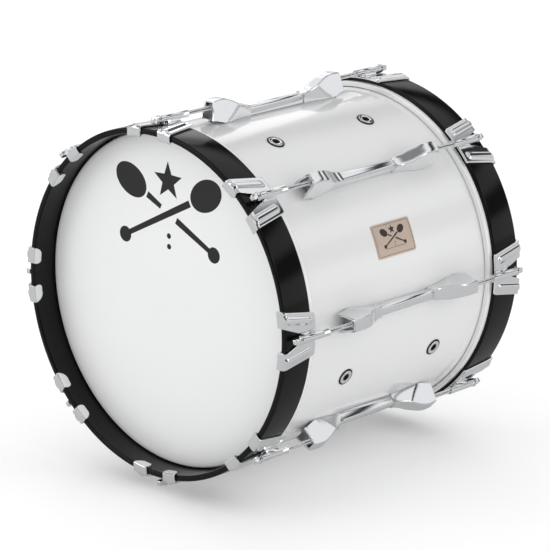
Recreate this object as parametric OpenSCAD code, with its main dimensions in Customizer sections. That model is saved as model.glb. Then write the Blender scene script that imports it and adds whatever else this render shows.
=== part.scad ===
// Marching bass drum, 16 x 14 in.
// The drum's axis lies along Y, with its centre at the origin and +Z up.
// The front head faces -Y.  Tension station 1 is at the top, and the
// stations run clockwise as seen from the front.
// Each fitting is drawn once, at the station that points along +X and at
// the +Y end, and is then turned and mirrored into its place.

/* [Shell] */
// Outer diameter of the bare shell
shell_od = 406.4; // [380:0.1:460]
// Depth of the shell from one bearing edge to the other
shell_depth = 355.6; // [340:0.1:420]
// Thickness of the shell's plies
shell_t = 7.5; // [6:0.5:9]
// Thickness of the covering glued round the shell
wrap_t = 0.5; // [0.4:0.1:0.8]

/* [Hoops and heads] */
// Thickness of a counter hoop
hoop_t = 7.5; // [7:0.1:8]
// Width of a counter hoop along the drum's axis
hoop_w = 44; // [40:1:48]
// Depth of a head below the hoop's outer edge
head_recess = 33.2; // [30:0.1:36]
// Thickness of the head film
film_t = 0.3; // [0.25:0.05:0.4]
// Width of a flesh hoop along the drum's axis
flesh_w = 8; // [7.5:0.5:13]

/* [Tension rods] */
// Number of tension stations round the drum
stations = 8; // [8]
// Diameter of a tension rod
rod_d = 5.56; // [5:0.01:5.6]
// Distance from the hoop's outer face to the rod's axis
rod_offset = 9; // [9:0.1:10]
// Clearance round a rod in its guide and in its nut
rod_fit = 0.07; // [0.03:0.01:0.1]

/* [Claws] */
// Thickness of a claw's plate
claw_t = 3; // [2.5:0.1:3.2]
// Gap between a claw and the hoop
claw_gap = 0.3; // [0.2:0.05:0.5]
// Length of a claw's tabs inside the hoop
claw_tab = 10; // [8:0.5:10]
// Length of the tube that guides the rod
claw_tube_len = 46; // [44:1:54]

/* [Lugs] */
// Length of one cast end along the shell
lug_len = 69; // [66:1:70]
// Width of a cast end at the shell
lug_base_w = 25.4; // [25:0.2:28]
// Height of a cast end above the covering
lug_h = 29.4; // [29:0.2:32]
// Thickness of the casting's walls
lug_wall = 2.6; // [2.2:0.1:2.8]
// Distance from the drum's middle to the mouth of a cast end, at the shell
lug_mouth = 116.5; // [114:0.5:118]
// How far the mouth leans back from the shell to its top
lug_rake = 5; // [3:0.5:6]
// Width of the bar between two cast ends
bar_w = 12; // [11:0.5:13]

/* [Carrier inserts and badge] */
// Distance of each carrier insert from the drum's middle
insert_y = 80; // [70:1:90]
// Diameter of the threaded hole in a carrier insert
insert_thread_d = 8; // [6:0.5:9]
// Length of the badge along the drum's axis
badge_len = 68; // [50:1:70]
// Width of the badge round the shell
badge_w = 41; // [30:1:44]

/* [Hidden] */
$fn = 96;
slack = 0.05;             // gap left between parts that rest on each other
cut = 1;                  // how far a cutter runs past the face that it cuts
corner_steps = 5;         // flats in a rounded corner
curve_steps = 10;         // flats in a lug's curved outlines
half_w = 60;              // half the width of a tool that spans a fitting
station_step = 360 / stations;

shell_r = shell_od / 2;
shell_in_r = shell_r - shell_t;
shell_end = shell_depth / 2;
edge_drop = 4.5;          // height of the bearing edge's inner slope
edge_in = 2;              // distance of the bearing edge from the outer face
wrap_r = shell_r + wrap_t;
wrap_end = shell_end - 12;

hoop_in_r = shell_r + 3.3;
hoop_r = hoop_in_r + hoop_t;
hoop_end = shell_end + head_recess;
hoop_start = hoop_end - hoop_w;
hoop_round = 2.4;

flesh_in_r = wrap_r + 0.8;
flesh_r = hoop_in_r + 3.8;
flesh_end = hoop_start - slack;
flesh_start = flesh_end - flesh_w;
flesh_round = 1.6;
film_r = flesh_in_r + 0.95;     // inner face of the head's collar
film_turn = 3.2;                // radius of the bend over the bearing edge
film_foot = flesh_start + 2.5;  // where the collar ends, inside the flesh hoop

rod_r = rod_d / 2;
rod_axis = hoop_r + rod_offset;
rod_hole_r = rod_r + rod_fit;
claw_in_r = hoop_r + claw_gap;
claw_r = claw_in_r + claw_t;
claw_face = hoop_end + claw_gap;
claw_end = claw_face + claw_t - 0.3;
claw_start = hoop_start - 3;
claw_round = 2;
claw_tab_t = 2.3;
claw_tab_r = hoop_in_r - claw_gap - claw_tab_t;
claw_wide = 35;                 // half the claw's width at its hooks
claw_narrow = 25.5;             // half the claw's width at its shell side
arm_in = 15;                    // from the rod to an arm, at the hooks
notch_end = hoop_end - 26;      // where the two arms join
notch_r = 6;
bead_w = 8;
bead_h = 1.5;
bead_start = hoop_start + 6;
tube_r = 4.75;
tube_end = hoop_end - 16;
tube_start = tube_end - claw_tube_len;

washer_t = 1.2;
washer_r = 5.6;
flange_t = 2;
flange_r = 5;
key_w = 6.35;                   // across the flats of the square key head
key_end = hoop_end - 4.6;
washer_start = tube_end + slack;
flange_start = washer_start + washer_t;
rod_start = lug_mouth - 24.5;

gasket_t = 0.6;
lug_seat = wrap_r + gasket_t;
lug_top = wrap_r + lug_h;
lug_neck = lug_mouth - lug_len;
lug_neck_w = 14;
lug_neck_h = 13.2;
lug_lean = 0.19;                // how fast the walls close in with height
lug_flat = 18;                  // from the mouth to the top of the hump
lug_dip = 2;                    // how far the back falls towards the mouth
web_start = lug_mouth - 16.5;
web_t = 3;
screw_y = lug_mouth - 40;
screw_r = 2.5;
screw_head_r = 4.6;
screw_head_h = 3.2;
screw_in = 10;                  // length of a screw inside its boss
boss_r = 5.2;
arch_r = 20;                    // relief of the side walls at the mouth
arch_h = 7;
lug_washer_r = 7;
lug_washer_t = 1.2;
lug_washer_out = sqrt(pow(shell_in_r, 2) - pow(lug_washer_r, 2)) - slack;
bar_bottom = wrap_r + 0.45;
bar_top = wrap_r + 12.2;
bar_chamfer = 2.2;
spigot_w = 7.6;
spigot_len = 6;

nut_neck_r = 4.1;
nut_flange_r = 5.5;
nut_end = lug_mouth - lug_rake - 3.5;
nut_start = rod_start + 2;
nut_flange_t = 5;

insert_angles = [67.5, -22.5];
insert_barrel_r = 6.4;
insert_flange_r = 9;
insert_ring_r = 11;
insert_flange_t = 1.5;
insert_ring_t = 1.1;
insert_nut_r = 11;
insert_nut_t = 5;
insert_inner = shell_in_r - 7;
insert_fit = 0.06;

badge_angle = 21.5;
badge_y = 4;
badge_t = 0.6;
badge_corner = 2.5;

// ---- places -------------------------------------------------------------

// Turns a fitting from +X to an angle seen from the front, +X towards +Z.
module at_angle(a) { rotate([0, -a, 0]) children(); }

// Turns a fitting from +X to tension station k.
module at_station(k) { at_angle(90 - (k - 1) * station_step) children(); }

// Draws a fitting at the rear end and again at the front end.
module both_ends() {
    children();
    mirror([0, 1, 0]) children();
}

module front_end() { mirror([0, 1, 0]) children(); }

// Turns an outline of radius and axial place round the drum's axis.
module turned() { rotate([-90, 0, 0]) rotate_extrude() children(); }

// A round bar along the drum's axis at the radius r_at.
module axial_rod(r, y0, y1, r_at = rod_axis) {
    translate([r_at, y0, 0]) rotate([-90, 0, 0]) cylinder(r = r, h = y1 - y0);
}

// A round bar that points outwards, from radius x0 to radius x1.
module radial_rod(r, x0, x1, y_at) {
    translate([x0, y_at, 0]) rotate([0, 90, 0]) cylinder(r = r, h = x1 - x0);
}

// Stands an outline of axial and sideways place outwards, from x0 to x1.
module plan_prism(x0, x1) {
    translate([x0, 0, 0]) rotate([90, 0, 90]) linear_extrude(x1 - x0) children();
}

// Spreads an outline of radius and axial place sideways by w each way.
module side_prism(w) { translate([0, 0, -w]) linear_extrude(2 * w) children(); }

// A tube round the drum's axis, from radius r0 to r1 and y0 to y1.
module band(r0, r1, y0, y1) {
    turned() translate([r0, y0]) square([r1 - r0, y1 - y0]);
}

// ---- outlines -----------------------------------------------------------

// The points of an arc round c, from angle a0 to a1.
function arc(c, r, a0, a1) = [
    for (i = [0:corner_steps])
        let (a = a0 + (a1 - a0) * i / corner_steps)
        [c[0] + r * cos(a), c[1] + r * sin(a)]
];

// A rectangle from [x0, y0] to [x1, y1] with round corners of radius r.
function rounded_box(x0, y0, x1, y1, r) = concat(
    arc([x1 - r, y1 - r], r, 0, 90), arc([x0 + r, y1 - r], r, 90, 180),
    arc([x0 + r, y0 + r], r, 180, 270), arc([x1 - r, y0 + r], r, 270, 360)
);

// Falls smoothly from 1 to 0 as t goes from 0 to 1.
function ease(t) = t <= 0 ? 1 : t >= 1 ? 0 : (1 + cos(180 * t)) / 2;

// Height of a lug's back and half its width, at a distance from its mouth.
function lug_fall(s) = ease((s - lug_flat) / (lug_len - lug_flat));
function lug_back(s) = wrap_r + lug_neck_h + (lug_h - lug_neck_h) * lug_fall(s)
    - lug_dip * pow(max(0, 1 - s / lug_flat), 2);
function lug_side(s) = (lug_neck_w + (lug_base_w - lug_neck_w) * lug_fall(s)) / 2;

// ---- shell, heads and hoops ---------------------------------------------

module shell_holes() {
    for (k = [1:stations]) at_station(k) both_ends()
        radial_rod(screw_r + 0.3, shell_in_r - 5, wrap_r + cut, screw_y);
    for (a = insert_angles) at_angle(a) both_ends()
        radial_rod(insert_barrel_r + 0.2, shell_in_r - 5, wrap_r + cut, insert_y);
}

module shell() {
    crest = shell_r - edge_in;
    color("burlywood") difference() {
        turned() polygon([
            [shell_in_r, -shell_end + edge_drop], [crest, -shell_end],
            [shell_r, -shell_end + edge_in], [shell_r, shell_end - edge_in],
            [crest, shell_end], [shell_in_r, shell_end - edge_drop]
        ]);
        shell_holes();
    }
}

module shell_wrap() {
    color("white") difference() {
        band(shell_r, wrap_r, -wrap_end, wrap_end);
        shell_holes();
    }
}

// The film lies over the bearing edge, turns down outside the shell and
// ends in the flesh hoop.
module head() {
    top = shell_end + slack + film_t;
    c = [film_r + film_t - film_turn, top - film_turn];
    color("whitesmoke") turned() polygon(concat(
        [[0, top - film_t], [0, top]],
        [for (i = [corner_steps:-1:0]) arc(c, film_turn, 0, 90)[i]],
        [[film_r + film_t, film_foot], [film_r, film_foot]],
        arc(c, film_turn - film_t, 0, 90)
    ));
}

// A metal channel whose slot holds the foot of the head's collar.
module flesh_hoop() {
    slot = 0.2;
    color("lightgray") turned() difference() {
        polygon(rounded_box(flesh_in_r, flesh_start, flesh_r, flesh_end, flesh_round / 2));
        translate([film_r - slot, film_foot - slot])
            square([film_t + 2 * slot, flesh_w]);
    }
}

module counter_hoop() {
    color("black") turned()
        polygon(rounded_box(hoop_in_r, hoop_start, hoop_r, hoop_end, hoop_round));
}

// ---- claws --------------------------------------------------------------

// Section of the plate that lies on the hoop and hooks over its edge.
module claw_section() {
    tip_r = claw_tab_t / 2;
    tip = [claw_tab_r + tip_r, hoop_end - claw_tab + tip_r];
    polygon(concat(
        [[claw_in_r, claw_start], [claw_r, claw_start]],
        arc([claw_r - claw_round, claw_end - claw_round], claw_round, 0, 90),
        arc([claw_tab_r + claw_round, claw_end - claw_round], claw_round, 90, 180),
        arc(tip, tip_r, 180, 360),
        [[claw_tab_r + claw_tab_t, claw_face], [claw_in_r, claw_face]]
    ));
}

// Outline of the two arms, which part towards the hooks.
module claw_plan() {
    difference() {
        polygon([
            [claw_start, -claw_narrow], [claw_end + cut, -claw_wide],
            [claw_end + cut, claw_wide], [claw_start, claw_narrow]
        ]);
        translate([notch_end + notch_r, 0]) circle(r = notch_r);
        polygon([
            [notch_end + notch_r, -notch_r], [claw_end + 2 * cut, -arm_in],
            [claw_end + 2 * cut, arm_in], [notch_end + notch_r, notch_r]
        ]);
    }
}

// A raised bead along one arm, with its round end towards the shell.
module claw_bead() {
    lean = atan2(claw_wide - claw_narrow, claw_end - claw_start);
    from = (claw_narrow + notch_r) / 2 + 1.5;
    intersection() {
        band(claw_r - claw_t / 2, claw_r + bead_h, bead_start - bead_w, claw_end - claw_round);
        plan_prism(claw_in_r - half_w / 4, claw_r + half_w / 4)
            translate([bead_start, from]) rotate(lean) union() {
                circle(r = bead_w / 2);
                translate([0, -bead_w / 2]) square([hoop_w + 4, bead_w]);
            }
    }
}

module claw() {
    color("silver") difference() {
        union() {
            intersection() {
                turned() claw_section();
                plan_prism(claw_tab_r - half_w / 4, claw_r + cut) claw_plan();
            }
            claw_bead();
            mirror([0, 0, 1]) claw_bead();
            axial_rod(tube_r, tube_start, tube_end);
            translate([claw_r - claw_t / 2, claw_start, -tube_r + 0.4])
                cube([rod_axis - claw_r + claw_t / 2, notch_end - claw_start, 2 * tube_r - 0.8]);
        }
        axial_rod(rod_hole_r, tube_start - cut, tube_end + cut);
    }
}

// ---- tension rods -------------------------------------------------------

module tension_rod() {
    color("gainsboro") {
        difference() {
            axial_rod(washer_r, washer_start, washer_start + washer_t - slack);
            axial_rod(rod_hole_r, washer_start - cut, washer_start + washer_t + cut);
        }
        union() {
            axial_rod(rod_r, rod_start, flange_start + flange_t);
            axial_rod(flange_r, flange_start, flange_start + flange_t);
            translate([rod_axis - key_w / 2, flange_start, -key_w / 2])
                cube([key_w, key_end - flange_start, key_w]);
        }
    }
}

// ---- lugs ---------------------------------------------------------------

// The outline of a cast end on the shell, with its sides moved in by w and
// its mouth moved out by past.
function lug_outline(w, past) =
    let (steps = [for (i = [0:curve_steps]) lug_len * i / curve_steps])
    let (side = [for (s = steps) [lug_mouth - s + (s == 0 ? past : 0), lug_side(s) - w]])
    concat(side, [for (i = [curve_steps:-1:0]) [side[i][0], -side[i][1]]]);

// The bulk of a cast end, with its faces moved in by w and its mouth
// moved out by past.
module lug_bulk(w = 0, past = 0) {
    backs = [for (i = [0:curve_steps]) lug_rake + (lug_len - lug_rake) * i / curve_steps];
    base = lug_base_w / 2 - w;
    rise = lug_top + cut - lug_seat;
    intersection() {
        side_prism(half_w) polygon(concat(
            [for (s = backs) [lug_back(s) - w, lug_mouth - s + (s == lug_rake ? past : 0)]],
            [[wrap_r - 3, lug_neck], [wrap_r - 3, lug_mouth + past]]
        ));
        plan_prism(wrap_r - 4, lug_top + cut) polygon(lug_outline(w, past));
        translate([0, lug_mouth + 2 * cut, 0]) rotate([90, 0, 0])
            linear_extrude(lug_len + 3 * cut) polygon([
                [wrap_r - 5, -base], [lug_seat, -base],
                [lug_seat + rise, lug_lean * rise - base],
                [lug_seat + rise, base - lug_lean * rise],
                [lug_seat, base], [wrap_r - 5, base]
            ]);
    }
}

// The side walls stand clear of the shell at the mouth, below an arch.
module lug_arch() {
    translate([lug_seat + arch_h - arch_r, lug_mouth, -half_w / 2])
        cylinder(r = arch_r, h = half_w);
}

module lug_end() {
    difference() {
        lug_bulk();
        difference() {
            lug_bulk(lug_wall, cut);
            translate([wrap_r - half_w / 2, lug_neck - cut, -half_w / 2])
                cube([half_w * 2, lug_wall + cut, half_w]);
            translate([wrap_r - half_w / 2, web_start, -half_w / 2])
                cube([half_w * 2, web_t, half_w]);
            radial_rod(boss_r, wrap_r - cut, lug_top, screw_y);
        }
        band(shell_in_r, lug_seat, lug_neck - cut, lug_mouth + cut);
        lug_arch();
        axial_rod(nut_neck_r + 0.15, web_start - cut, web_start + web_t + cut);
        radial_rod(screw_r + slack, wrap_r - cut, lug_seat + screw_in + 1, screw_y);
        translate([(bar_bottom + bar_top - spigot_w) / 2 - 0.1, lug_neck - cut, -spigot_w / 2 - 0.1])
            cube([spigot_w + 0.2, lug_wall + 2 * cut, spigot_w + 0.2]);
    }
}

module lug() { color("silver") both_ends() lug_end(); }

// A chamfered bar whose spigots enter the two cast ends.
module lug_bar() {
    side = bar_w / 2;
    half = lug_neck - slack;
    translate([0, half, 0]) rotate([90, 0, 0]) linear_extrude(2 * half) polygon([
        [bar_bottom, -side], [bar_top - bar_chamfer, -side],
        [bar_top, bar_chamfer - side], [bar_top, side - bar_chamfer],
        [bar_top - bar_chamfer, side], [bar_bottom, side]
    ]);
    both_ends() translate([(bar_bottom + bar_top - spigot_w) / 2, half - cut, -spigot_w / 2])
        cube([spigot_w, spigot_len + cut, spigot_w]);
}

module lug_bars() {
    color("silver") for (k = [1:stations]) at_station(k) lug_bar();
}

// The neck of each nut passes the web, and its flange stays behind it.
module swivel_nut() {
    flange_end = web_start - slack;
    difference() {
        union() {
            axial_rod(nut_neck_r, nut_start, nut_end);
            axial_rod(nut_flange_r, flange_end - nut_flange_t, flange_end);
        }
        axial_rod(rod_hole_r, nut_start - cut, nut_end + cut);
    }
}

module swivel_nuts() {
    color("gold") for (k = [1:stations]) at_station(k) both_ends() swivel_nut();
}

module lug_gaskets() {
    color("dimgray") for (k = [1:stations]) at_station(k) both_ends() difference() {
        intersection() {
            band(wrap_r, lug_seat, lug_neck, lug_mouth);
            plan_prism(wrap_r - 3, lug_seat + 3) polygon(lug_outline(0, 0));
        }
        lug_arch();
        radial_rod(screw_r + 0.3, wrap_r - cut, lug_seat + cut, screw_y);
    }
}

// The washers and screw heads sit inside the shell, on flats that clear
// its curved inner face.
module lug_washers() {
    color("gray") for (k = [1:stations]) at_station(k) both_ends() difference() {
        radial_rod(lug_washer_r, lug_washer_out - lug_washer_t, lug_washer_out, screw_y);
        radial_rod(screw_r + 0.2, lug_washer_out - lug_washer_t - cut, lug_washer_out + cut, screw_y);
    }
}

module lug_screws() {
    seat = lug_washer_out - lug_washer_t - slack;
    color("gray") for (k = [1:stations]) at_station(k) both_ends() union() {
        radial_rod(screw_r, seat - cut, lug_seat + screw_in, screw_y);
        difference() {
            radial_rod(screw_head_r, seat - screw_head_h, seat, screw_y);
            translate([seat - screw_head_h - cut, screw_y - screw_head_r, -0.6])
                cube([cut + 1.4, 2 * screw_head_r, 1.2]);
        }
    }
}

// ---- carrier inserts and badge ------------------------------------------

module at_inserts() {
    for (a = insert_angles) at_angle(a) both_ends() translate([0, insert_y, 0]) children();
}

module insert_bushes() {
    flange_in = wrap_r + slack;
    color("silver") at_inserts() difference() {
        union() {
            radial_rod(insert_barrel_r, insert_inner, flange_in + 1, 0);
            radial_rod(insert_flange_r, flange_in, flange_in + insert_flange_t, 0);
        }
        radial_rod(insert_thread_d / 2, insert_inner - cut, flange_in + insert_flange_t + cut, 0);
    }
}

module insert_rings() {
    color("black") at_inserts() difference() {
        radial_rod(insert_ring_r, wrap_r - cut, wrap_r + insert_ring_t, 0);
        radial_rod(insert_flange_r + slack, wrap_r - 2 * cut, wrap_r + insert_ring_t + cut, 0);
        translate([0, -insert_ring_r - cut, 0])
            band(shell_in_r, wrap_r, 0, 2 * (insert_ring_r + cut), $fn = 720);
    }
}

module insert_nuts() {
    out = sqrt(pow(shell_in_r, 2) - pow(insert_nut_r, 2)) - slack;
    color("gray") at_inserts() difference() {
        translate([out - insert_nut_t, 0, 0]) rotate([0, 90, 0])
            cylinder(r = insert_nut_r, h = insert_nut_t, $fn = 6);
        radial_rod(insert_barrel_r + insert_fit, out - insert_nut_t - cut, out + cut, 0);
    }
}

module badge() {
    color("tan") at_angle(badge_angle) intersection() {
        band(wrap_r + slack, wrap_r + slack + badge_t, -badge_len, badge_len);
        plan_prism(wrap_r - half_w / 4, wrap_r + half_w / 4)
            translate([badge_y, 0]) polygon(rounded_box(
                -badge_len / 2, -badge_w / 2, badge_len / 2, badge_w / 2, badge_corner
            ));
    }
}

// ---- drawing ------------------------------------------------------------

shell();
shell_wrap();
front_end() head();  // front_head
head();  // rear_head
front_end() flesh_hoop();  // front_flesh_hoop
flesh_hoop();  // rear_flesh_hoop
front_end() counter_hoop();  // front_hoop
counter_hoop();  // rear_hoop
for (k = [1:stations]) {
    at_station(k) front_end() claw();
    at_station(k) claw();
    at_station(k) front_end() tension_rod();
    at_station(k) tension_rod();
    at_station(k) lug();
}
lug_bars();
swivel_nuts();
lug_screws();
lug_washers();
lug_gaskets();
insert_bushes();
insert_rings();
insert_nuts();
badge();
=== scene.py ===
"""Looks of a 16 x 14 in marching bass drum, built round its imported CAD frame.

Lengths are in metres.  The drum's axis lies along Y, the front head faces -Y and
station 1 is at the top.  A fitting is modelled once, on the side that points along
+X and at the +Y end, and Geometry Nodes then turn and mirror it into its place.
"""

from __future__ import annotations

import logging
import math
from dataclasses import dataclass
from enum import Enum
from typing import Iterable, Sequence

import bmesh
import bpy
from mathutils import Matrix, Vector

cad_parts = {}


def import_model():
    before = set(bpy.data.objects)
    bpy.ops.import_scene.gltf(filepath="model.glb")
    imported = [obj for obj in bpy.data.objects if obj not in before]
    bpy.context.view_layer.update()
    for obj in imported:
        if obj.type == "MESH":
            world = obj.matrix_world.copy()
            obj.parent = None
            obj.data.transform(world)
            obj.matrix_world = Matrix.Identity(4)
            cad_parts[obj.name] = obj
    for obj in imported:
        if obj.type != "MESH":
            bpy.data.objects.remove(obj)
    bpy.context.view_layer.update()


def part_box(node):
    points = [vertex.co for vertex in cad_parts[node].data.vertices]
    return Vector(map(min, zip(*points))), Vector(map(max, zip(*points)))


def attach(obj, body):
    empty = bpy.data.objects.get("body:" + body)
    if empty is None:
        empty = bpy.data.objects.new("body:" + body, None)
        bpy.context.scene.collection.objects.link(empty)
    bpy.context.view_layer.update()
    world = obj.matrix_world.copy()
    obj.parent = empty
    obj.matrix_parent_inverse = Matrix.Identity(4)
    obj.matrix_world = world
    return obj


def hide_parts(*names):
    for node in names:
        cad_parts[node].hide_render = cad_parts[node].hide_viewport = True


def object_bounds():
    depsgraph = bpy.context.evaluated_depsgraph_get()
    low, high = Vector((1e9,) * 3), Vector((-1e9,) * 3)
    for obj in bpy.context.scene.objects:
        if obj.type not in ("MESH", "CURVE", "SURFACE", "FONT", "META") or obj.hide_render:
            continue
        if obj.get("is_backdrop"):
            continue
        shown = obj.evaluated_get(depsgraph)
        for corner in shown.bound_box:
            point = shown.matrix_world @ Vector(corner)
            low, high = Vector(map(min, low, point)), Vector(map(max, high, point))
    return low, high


log = logging.getLogger("drum")

MM = 0.001
STATIONS = 8
TOP_ANGLE = 90.0
INSERT_ANGLE = 67.5
INSERT_STEP = -90.0
INSERT_PLACE = 80 * MM
QUARTER_TURN = math.radians(90)
Point = tuple[float, float]
Colour = tuple[float, float, float, float]


class End(Enum):
    """The end of the drum that a fitting belongs to, and its sign along Y."""

    FRONT = -1
    REAR = 1

    @property
    def word(self) -> str:
        """The end's name, as the CAD nodes write it."""
        return self.name.lower()


BOTH = (End.FRONT, End.REAR)


def station_angle(station: int) -> float:
    """Gives a tension station's angle from +X towards +Z.

    Args:
        station: the station's number, from 1 at the top.

    Returns:
        The angle in degrees.
    """
    return TOP_ANGLE - (station - 1) * 360.0 / STATIONS


def ease(t: float) -> float:
    """Falls smoothly from 1 at t = 0 to 0 at t = 1, and is flat beyond both."""
    return 0.5 + 0.5 * math.cos(math.pi * min(max(t, 0.0), 1.0))


def arc(centre: Point, radius: float, start: float, stop: float, steps: int) -> list[Point]:
    """Gives the points of an arc.

    Args:
        centre: the arc's centre.
        radius: its radius.
        start: its first angle, in degrees.
        stop: its last angle, in degrees.
        steps: how many chords it is cut into.

    Returns:
        The points, from start to stop.
    """
    turns = [math.radians(start + (stop - start) * i / steps) for i in range(steps + 1)]
    return [(centre[0] + radius * math.cos(a), centre[1] + radius * math.sin(a)) for a in turns]


def rounded_box(low: Point, high: Point, radius: float, steps: int = 6) -> list[Point]:
    """Gives a rectangle's outline with round corners.

    Args:
        low: the lowest corner.
        high: the highest corner.
        radius: the corners' radius.
        steps: how many chords a corner has.

    Returns:
        The outline's points, anticlockwise.
    """
    (x0, y0), (x1, y1) = low, high
    return [
        *arc((x1 - radius, y1 - radius), radius, 0, 90, steps),
        *arc((x0 + radius, y1 - radius), radius, 90, 180, steps),
        *arc((x0 + radius, y0 + radius), radius, 180, 270, steps),
        *arc((x1 - radius, y0 + radius), radius, 270, 360, steps),
    ]


# ---- shader maths ------------------------------------------------------------------


class Signal:
    """A number that a shader works out, which Python's operators act on."""

    def __init__(self, tree: bpy.types.NodeTree, socket: bpy.types.NodeSocket) -> None:
        """Wraps an output socket of a tree."""
        self.tree = tree
        self.socket = socket

    def _math(self, operation: str, *values: Signal | float) -> Signal:
        """Adds a Math node.

        Args:
            operation: the Math node's operation.
            values: what its inputs hold, in order.

        Returns:
            The node's result.
        """
        node = self.tree.nodes.new("ShaderNodeMath")
        node.operation = operation
        for socket, value in zip(node.inputs, values):
            if isinstance(value, Signal):
                self.tree.links.new(value.socket, socket)
            else:
                socket.default_value = value
        return Signal(self.tree, node.outputs[0])

    def __add__(self, other: Signal | float) -> Signal:
        """Adds."""
        return self._math("ADD", self, other)

    def __sub__(self, other: Signal | float) -> Signal:
        """Takes other away."""
        return self._math("SUBTRACT", self, other)

    def __rsub__(self, other: float) -> Signal:
        """Takes this signal away from other."""
        return self._math("SUBTRACT", other, self)

    def __mul__(self, other: Signal | float) -> Signal:
        """Multiplies."""
        return self._math("MULTIPLY", self, other)

    def __truediv__(self, other: Signal | float) -> Signal:
        """Divides."""
        return self._math("DIVIDE", self, other)

    __radd__ = __add__
    __rmul__ = __mul__

    def root(self) -> Signal:
        """Gives the square root."""
        return self._math("SQRT", self)

    def size(self) -> Signal:
        """Gives the size without its sign."""
        return self._math("ABSOLUTE", self)

    def least(self, other: Signal | float) -> Signal:
        """Gives the smaller of two numbers."""
        return self._math("MINIMUM", self, other)

    def fold(self, width: float) -> Signal:
        """Goes up to width and down to 0 again and again."""
        return self._math("PINGPONG", self, width)

    def angle(self, other: Signal) -> Signal:
        """Gives the angle of the point (other, self), in radians."""
        return self._math("ARCTAN2", self, other)

    def above(self, edge: float, soft: float) -> Signal:
        """Goes smoothly from 0 to 1 as the signal passes edge, over twice soft.

        Args:
            edge: the value that it passes.
            soft: how far the change reaches on either side.

        Returns:
            The smooth step.
        """
        node = self.tree.nodes.new("ShaderNodeMapRange")
        node.interpolation_type = "SMOOTHSTEP"
        self.tree.links.new(self.socket, node.inputs["Value"])
        node.inputs["From Min"].default_value = edge - soft
        node.inputs["From Max"].default_value = edge + soft
        return Signal(self.tree, node.outputs["Result"])


class Nodes:
    """A node tree, with the few calls that the finishes and the sky are built with."""

    def __init__(self, tree: bpy.types.NodeTree) -> None:
        """Empties the tree and adds its coordinates.

        Args:
            tree: the node tree to build in.
        """
        self.tree = tree
        self.tree.nodes.clear()
        self.coords = self.node("ShaderNodeTexCoord")

    def node(
        self, kind: str, settings: dict | None = None, inputs: dict | None = None
    ) -> bpy.types.Node:
        """Adds any node.

        Args:
            kind: the node's type.
            settings: its properties.
            inputs: its sockets' values, signals or sockets to link, by name or number.

        Returns:
            The node.
        """
        made = self.tree.nodes.new(kind)
        for key, value in (settings or {}).items():
            setattr(made, key, value)
        for key, value in (inputs or {}).items():
            self.link(value, made.inputs[key])
        return made

    def link(self, value: object, socket: bpy.types.NodeSocket) -> None:
        """Gives a socket a value, a signal or another node's socket.

        Args:
            value: what the socket gets.
            socket: the input that gets it.
        """
        if isinstance(value, Signal):
            self.tree.links.new(value.socket, socket)
        elif isinstance(value, bpy.types.NodeSocket):
            self.tree.links.new(value, socket)
        else:
            socket.default_value = value

    def split(self, socket: bpy.types.NodeSocket) -> tuple[Signal, Signal, Signal]:
        """Gives the three parts of a vector."""
        parts = self.node("ShaderNodeSeparateXYZ", inputs={0: socket}).outputs
        return tuple(Signal(self.tree, part) for part in parts)

    def vector(self, x: object, y: object, z: object) -> bpy.types.NodeSocket:
        """Joins three numbers or signals into a vector."""
        return self.node("ShaderNodeCombineXYZ", inputs={0: x, 1: y, 2: z}).outputs[0]

    def mix(self, factor: object, first: object, second: object) -> bpy.types.NodeSocket:
        """Mixes two colours.

        Args:
            factor: 0 for the first, 1 for the second.
            first: a colour, or a socket.
            second: a colour, or a socket.

        Returns:
            The mixed colour's socket.
        """
        node = self.node("ShaderNodeMix", {"data_type": "RGBA"}, {0: factor, 6: first, 7: second})
        return node.outputs[2]


class Shader(Nodes):
    """One material's node tree, which ends in a Principled BSDF."""

    def __init__(self, name: str) -> None:
        """Makes a material with its output and its Principled BSDF.

        Args:
            name: the material's name.
        """
        self.material = bpy.data.materials.new(name)
        self.material.use_nodes = True
        super().__init__(self.material.node_tree)
        self.base = self.node("ShaderNodeBsdfPrincipled")
        self.node("ShaderNodeOutputMaterial", inputs={"Surface": self.base.outputs[0]})

    def place(self) -> tuple[Signal, Signal, Signal]:
        """Gives the object's X, Y and Z at the shaded point."""
        return self.split(self.coords.outputs["Object"])

    def noise(self, scale: float, detail: float = 3.0, vector: object = None) -> Signal:
        """Adds a noise texture, centred on 0.

        Args:
            scale: its scale, in waves to the metre.
            detail: how many octaves it has.
            vector: where it is read, which is the object's own place if left out.

        Returns:
            The noise, from about -0.5 to 0.5.
        """
        source = self.coords.outputs["Object"] if vector is None else vector
        inputs = {"Vector": source, "Scale": scale, "Detail": detail}
        made = self.node("ShaderNodeTexNoise", inputs=inputs)
        return Signal(self.tree, made.outputs["Fac"]) - 0.5

    def bump(self, height: Signal, depth: float) -> None:
        """Presses a height, whose waves are depth metres high, into the surface."""
        node = self.node("ShaderNodeBump", inputs={"Height": height, "Distance": depth})
        self.link(node.outputs[0], self.base.inputs["Normal"])

    def dress(self, **values: object) -> None:
        """Sets the Principled BSDF's sockets; an underscore stands for a space."""
        for key, value in values.items():
            self.link(value, self.base.inputs[key.replace("_", " ")])


def grey(level: float, warmth: float = 0.0) -> Colour:
    """Gives a linear grey, warmer or, below 0, cooler."""
    return (level * (1 + warmth), level, level * (1 - warmth), 1.0)


# ---- finishes ----------------------------------------------------------------------


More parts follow.
